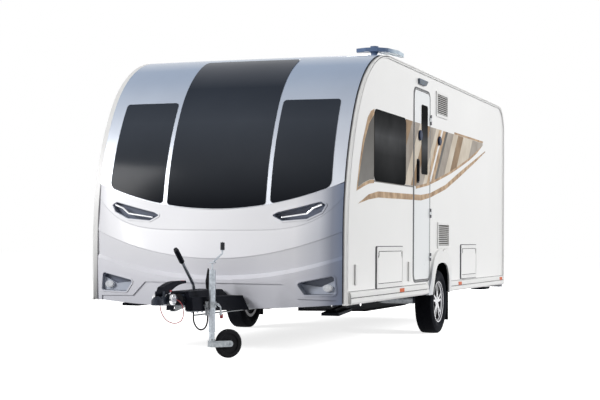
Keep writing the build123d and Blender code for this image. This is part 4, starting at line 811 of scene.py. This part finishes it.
# %% Drawbar details
clamp_steel = finish("clamp_steel", (0.40, 0.43, 0.47), (0.60, 0.62, 0.66), 40, (0.2, 0.3), Metallic=0.8)
JOCKEY_X = 0.205
HOUSING_X, HOUSING_TOP = 0.062, ((-3.16, 0.372), (-3.05, 0.368), (-2.96, 0.366))     # Y and Z
disc("clamp_screw", (JOCKEY_X, -3.030, 0.418), (0, 1, 0), 0.008, 0.090, clamp_steel, sides=20)
disc("clamp_arm", (JOCKEY_X, -2.962, 0.392), (0, 0.62, -0.36), 0.006, 0.090, clamp_steel, sides=16)
disc("clamp_drop", (JOCKEY_X, -2.918, 0.352), (0, 0.25, -0.6), 0.006, 0.052, clamp_steel, sides=16)
disc("clamp_knob", (JOCKEY_X, -2.908, 0.318), (0, 0.1, -1), 0.013, 0.036, red_sheath, sides=24, bevel=0.005)
for index, (y, z) in enumerate(HOUSING_TOP):
    disc(f"housing_bolt_{index}", (HOUSING_X, y, z - 0.012), (0, 0, 1), 0.009, 0.020, clamp_steel, sides=6,
         bevel=0.001)
disc("tube_collar", (JOCKEY_X, -3.093, 0.742), (0, 0, 1), 0.0268, 0.012, clamp_steel, sides=40)
print("drawbar dressed")

# %% [markdown]
# ## Blank plate
# The rear bumper carries a blank number plate.

# %% Number plate
plate_yellow = finish("plate_yellow", (0.80, 0.62, 0.06), (0.84, 0.66, 0.09), 20, (0.3, 0.4))
flat("rear_plate", [box_outline((-0.26, 0.480), (0.26, 0.590), 0, 0.012)], "Y", (0, 3.6695, 0), 0.004,
     plate_yellow)
print("plate is blank")

# %% [markdown]
# ## Floor and light
# A wide floor catches the shadow. To the camera, in mirrors and through glass it is pale and glows
# a little, like the ground in the photo. To the light it is grey, so it throws little back up.

# %% Floor
FLOOR_SIZE = 120                  # metres
FLOOR_LIT, FLOOR_SEEN, FLOOR_GLOW = (0.20, 0.20, 0.21, 1), (0.92, 0.92, 0.92, 1), 0.80
WHITE = (1, 1, 1, 1)
bpy.ops.object.select_all(action="DESELECT")
bpy.ops.mesh.primitive_plane_add(size=FLOOR_SIZE)
floor = bpy.context.object
floor.name = "floor"


def when_seen(tree, plain, shown):
    """Mixes in a second shader for rays from the camera, mirrors and glass."""
    path = tree.nodes.new("ShaderNodeLightPath")
    either = path.outputs["Is Camera Ray"]
    for kind in ("Is Glossy Ray", "Is Transmission Ray"):
        add = tree.nodes.new("ShaderNodeMath")
        add.operation = "MAXIMUM"
        tree.links.new(either, add.inputs[0])
        tree.links.new(path.outputs[kind], add.inputs[1])
        either = add.outputs[0]
    mix = tree.nodes.new("ShaderNodeMixShader")
    tree.links.new(either, mix.inputs["Fac"])
    tree.links.new(plain, mix.inputs[1])
    tree.links.new(shown, mix.inputs[2])
    return mix.outputs[0]


ground = bpy.data.materials.new("ground")
ground.use_nodes = True
tree = ground.node_tree
lit = tree.nodes["Principled BSDF"]
lit.inputs["Base Color"].default_value = FLOOR_LIT
lit.inputs["Roughness"].default_value = 0.9
pale = tree.nodes.new("ShaderNodeBsdfDiffuse")
pale.inputs["Color"].default_value = FLOOR_SEEN
glow = tree.nodes.new("ShaderNodeEmission")
glow.inputs["Color"].default_value = WHITE
glow.inputs["Strength"].default_value = FLOOR_GLOW
lifted = tree.nodes.new("ShaderNodeAddShader")
tree.links.new(pale.outputs[0], lifted.inputs[0])
tree.links.new(glow.outputs[0], lifted.inputs[1])
seen = when_seen(tree, lit.outputs[0], lifted.outputs[0])
tree.links.new(seen, tree.nodes["Material Output"].inputs["Surface"])
floor.data.materials.append(ground)
print("floor laid")

# %% [markdown]
# The sky is white where it is seen or mirrored, and its own light is weak, so three lamps shape
# the body: the key high on the nearside, the fill from ahead on the offside, which leaves the near
# front corner in shade, and a weaker one behind.

# %% Sky and lamps
SKY_LIGHT, SKY_SEEN = 0.22, 1
LAMPS = [("key", (13, 2, 7), (0, 0, 1), 5, 1450), ("fill", (-9.0, -12.0, 6.5), (0, -2, 1.2), 4, 1650),
         ("back", (-2, 14, 6), (0, 3, 1.2), 4, 1000)]            # place, target, size and power
world = bpy.data.worlds.new("sky")
bpy.context.scene.world = world
world.use_nodes = True
tree = world.node_tree
sky = tree.nodes["Background"]
sky.inputs["Color"].default_value = WHITE
sky.inputs["Strength"].default_value = SKY_LIGHT
white = tree.nodes.new("ShaderNodeBackground")
white.inputs["Color"].default_value = WHITE
white.inputs["Strength"].default_value = SKY_SEEN
seen = when_seen(tree, sky.outputs[0], white.outputs[0])
tree.links.new(seen, tree.nodes["World Output"].inputs["Surface"])


def lamp(name, place, target, size, power):
    """A square area lamp turned towards a point."""
    light = bpy.data.lights.new(name, "AREA")
    light.size, light.energy = size, power
    obj = bpy.data.objects.new(name, light)
    obj.location = place
    obj.rotation_euler = (Vector(target) - Vector(place)).to_track_quat("-Z", "Y").to_euler()
    bpy.context.collection.objects.link(obj)


for settings in LAMPS:
    lamp(*settings)
print("sky", SKY_LIGHT, "and", len(LAMPS), "lamps")
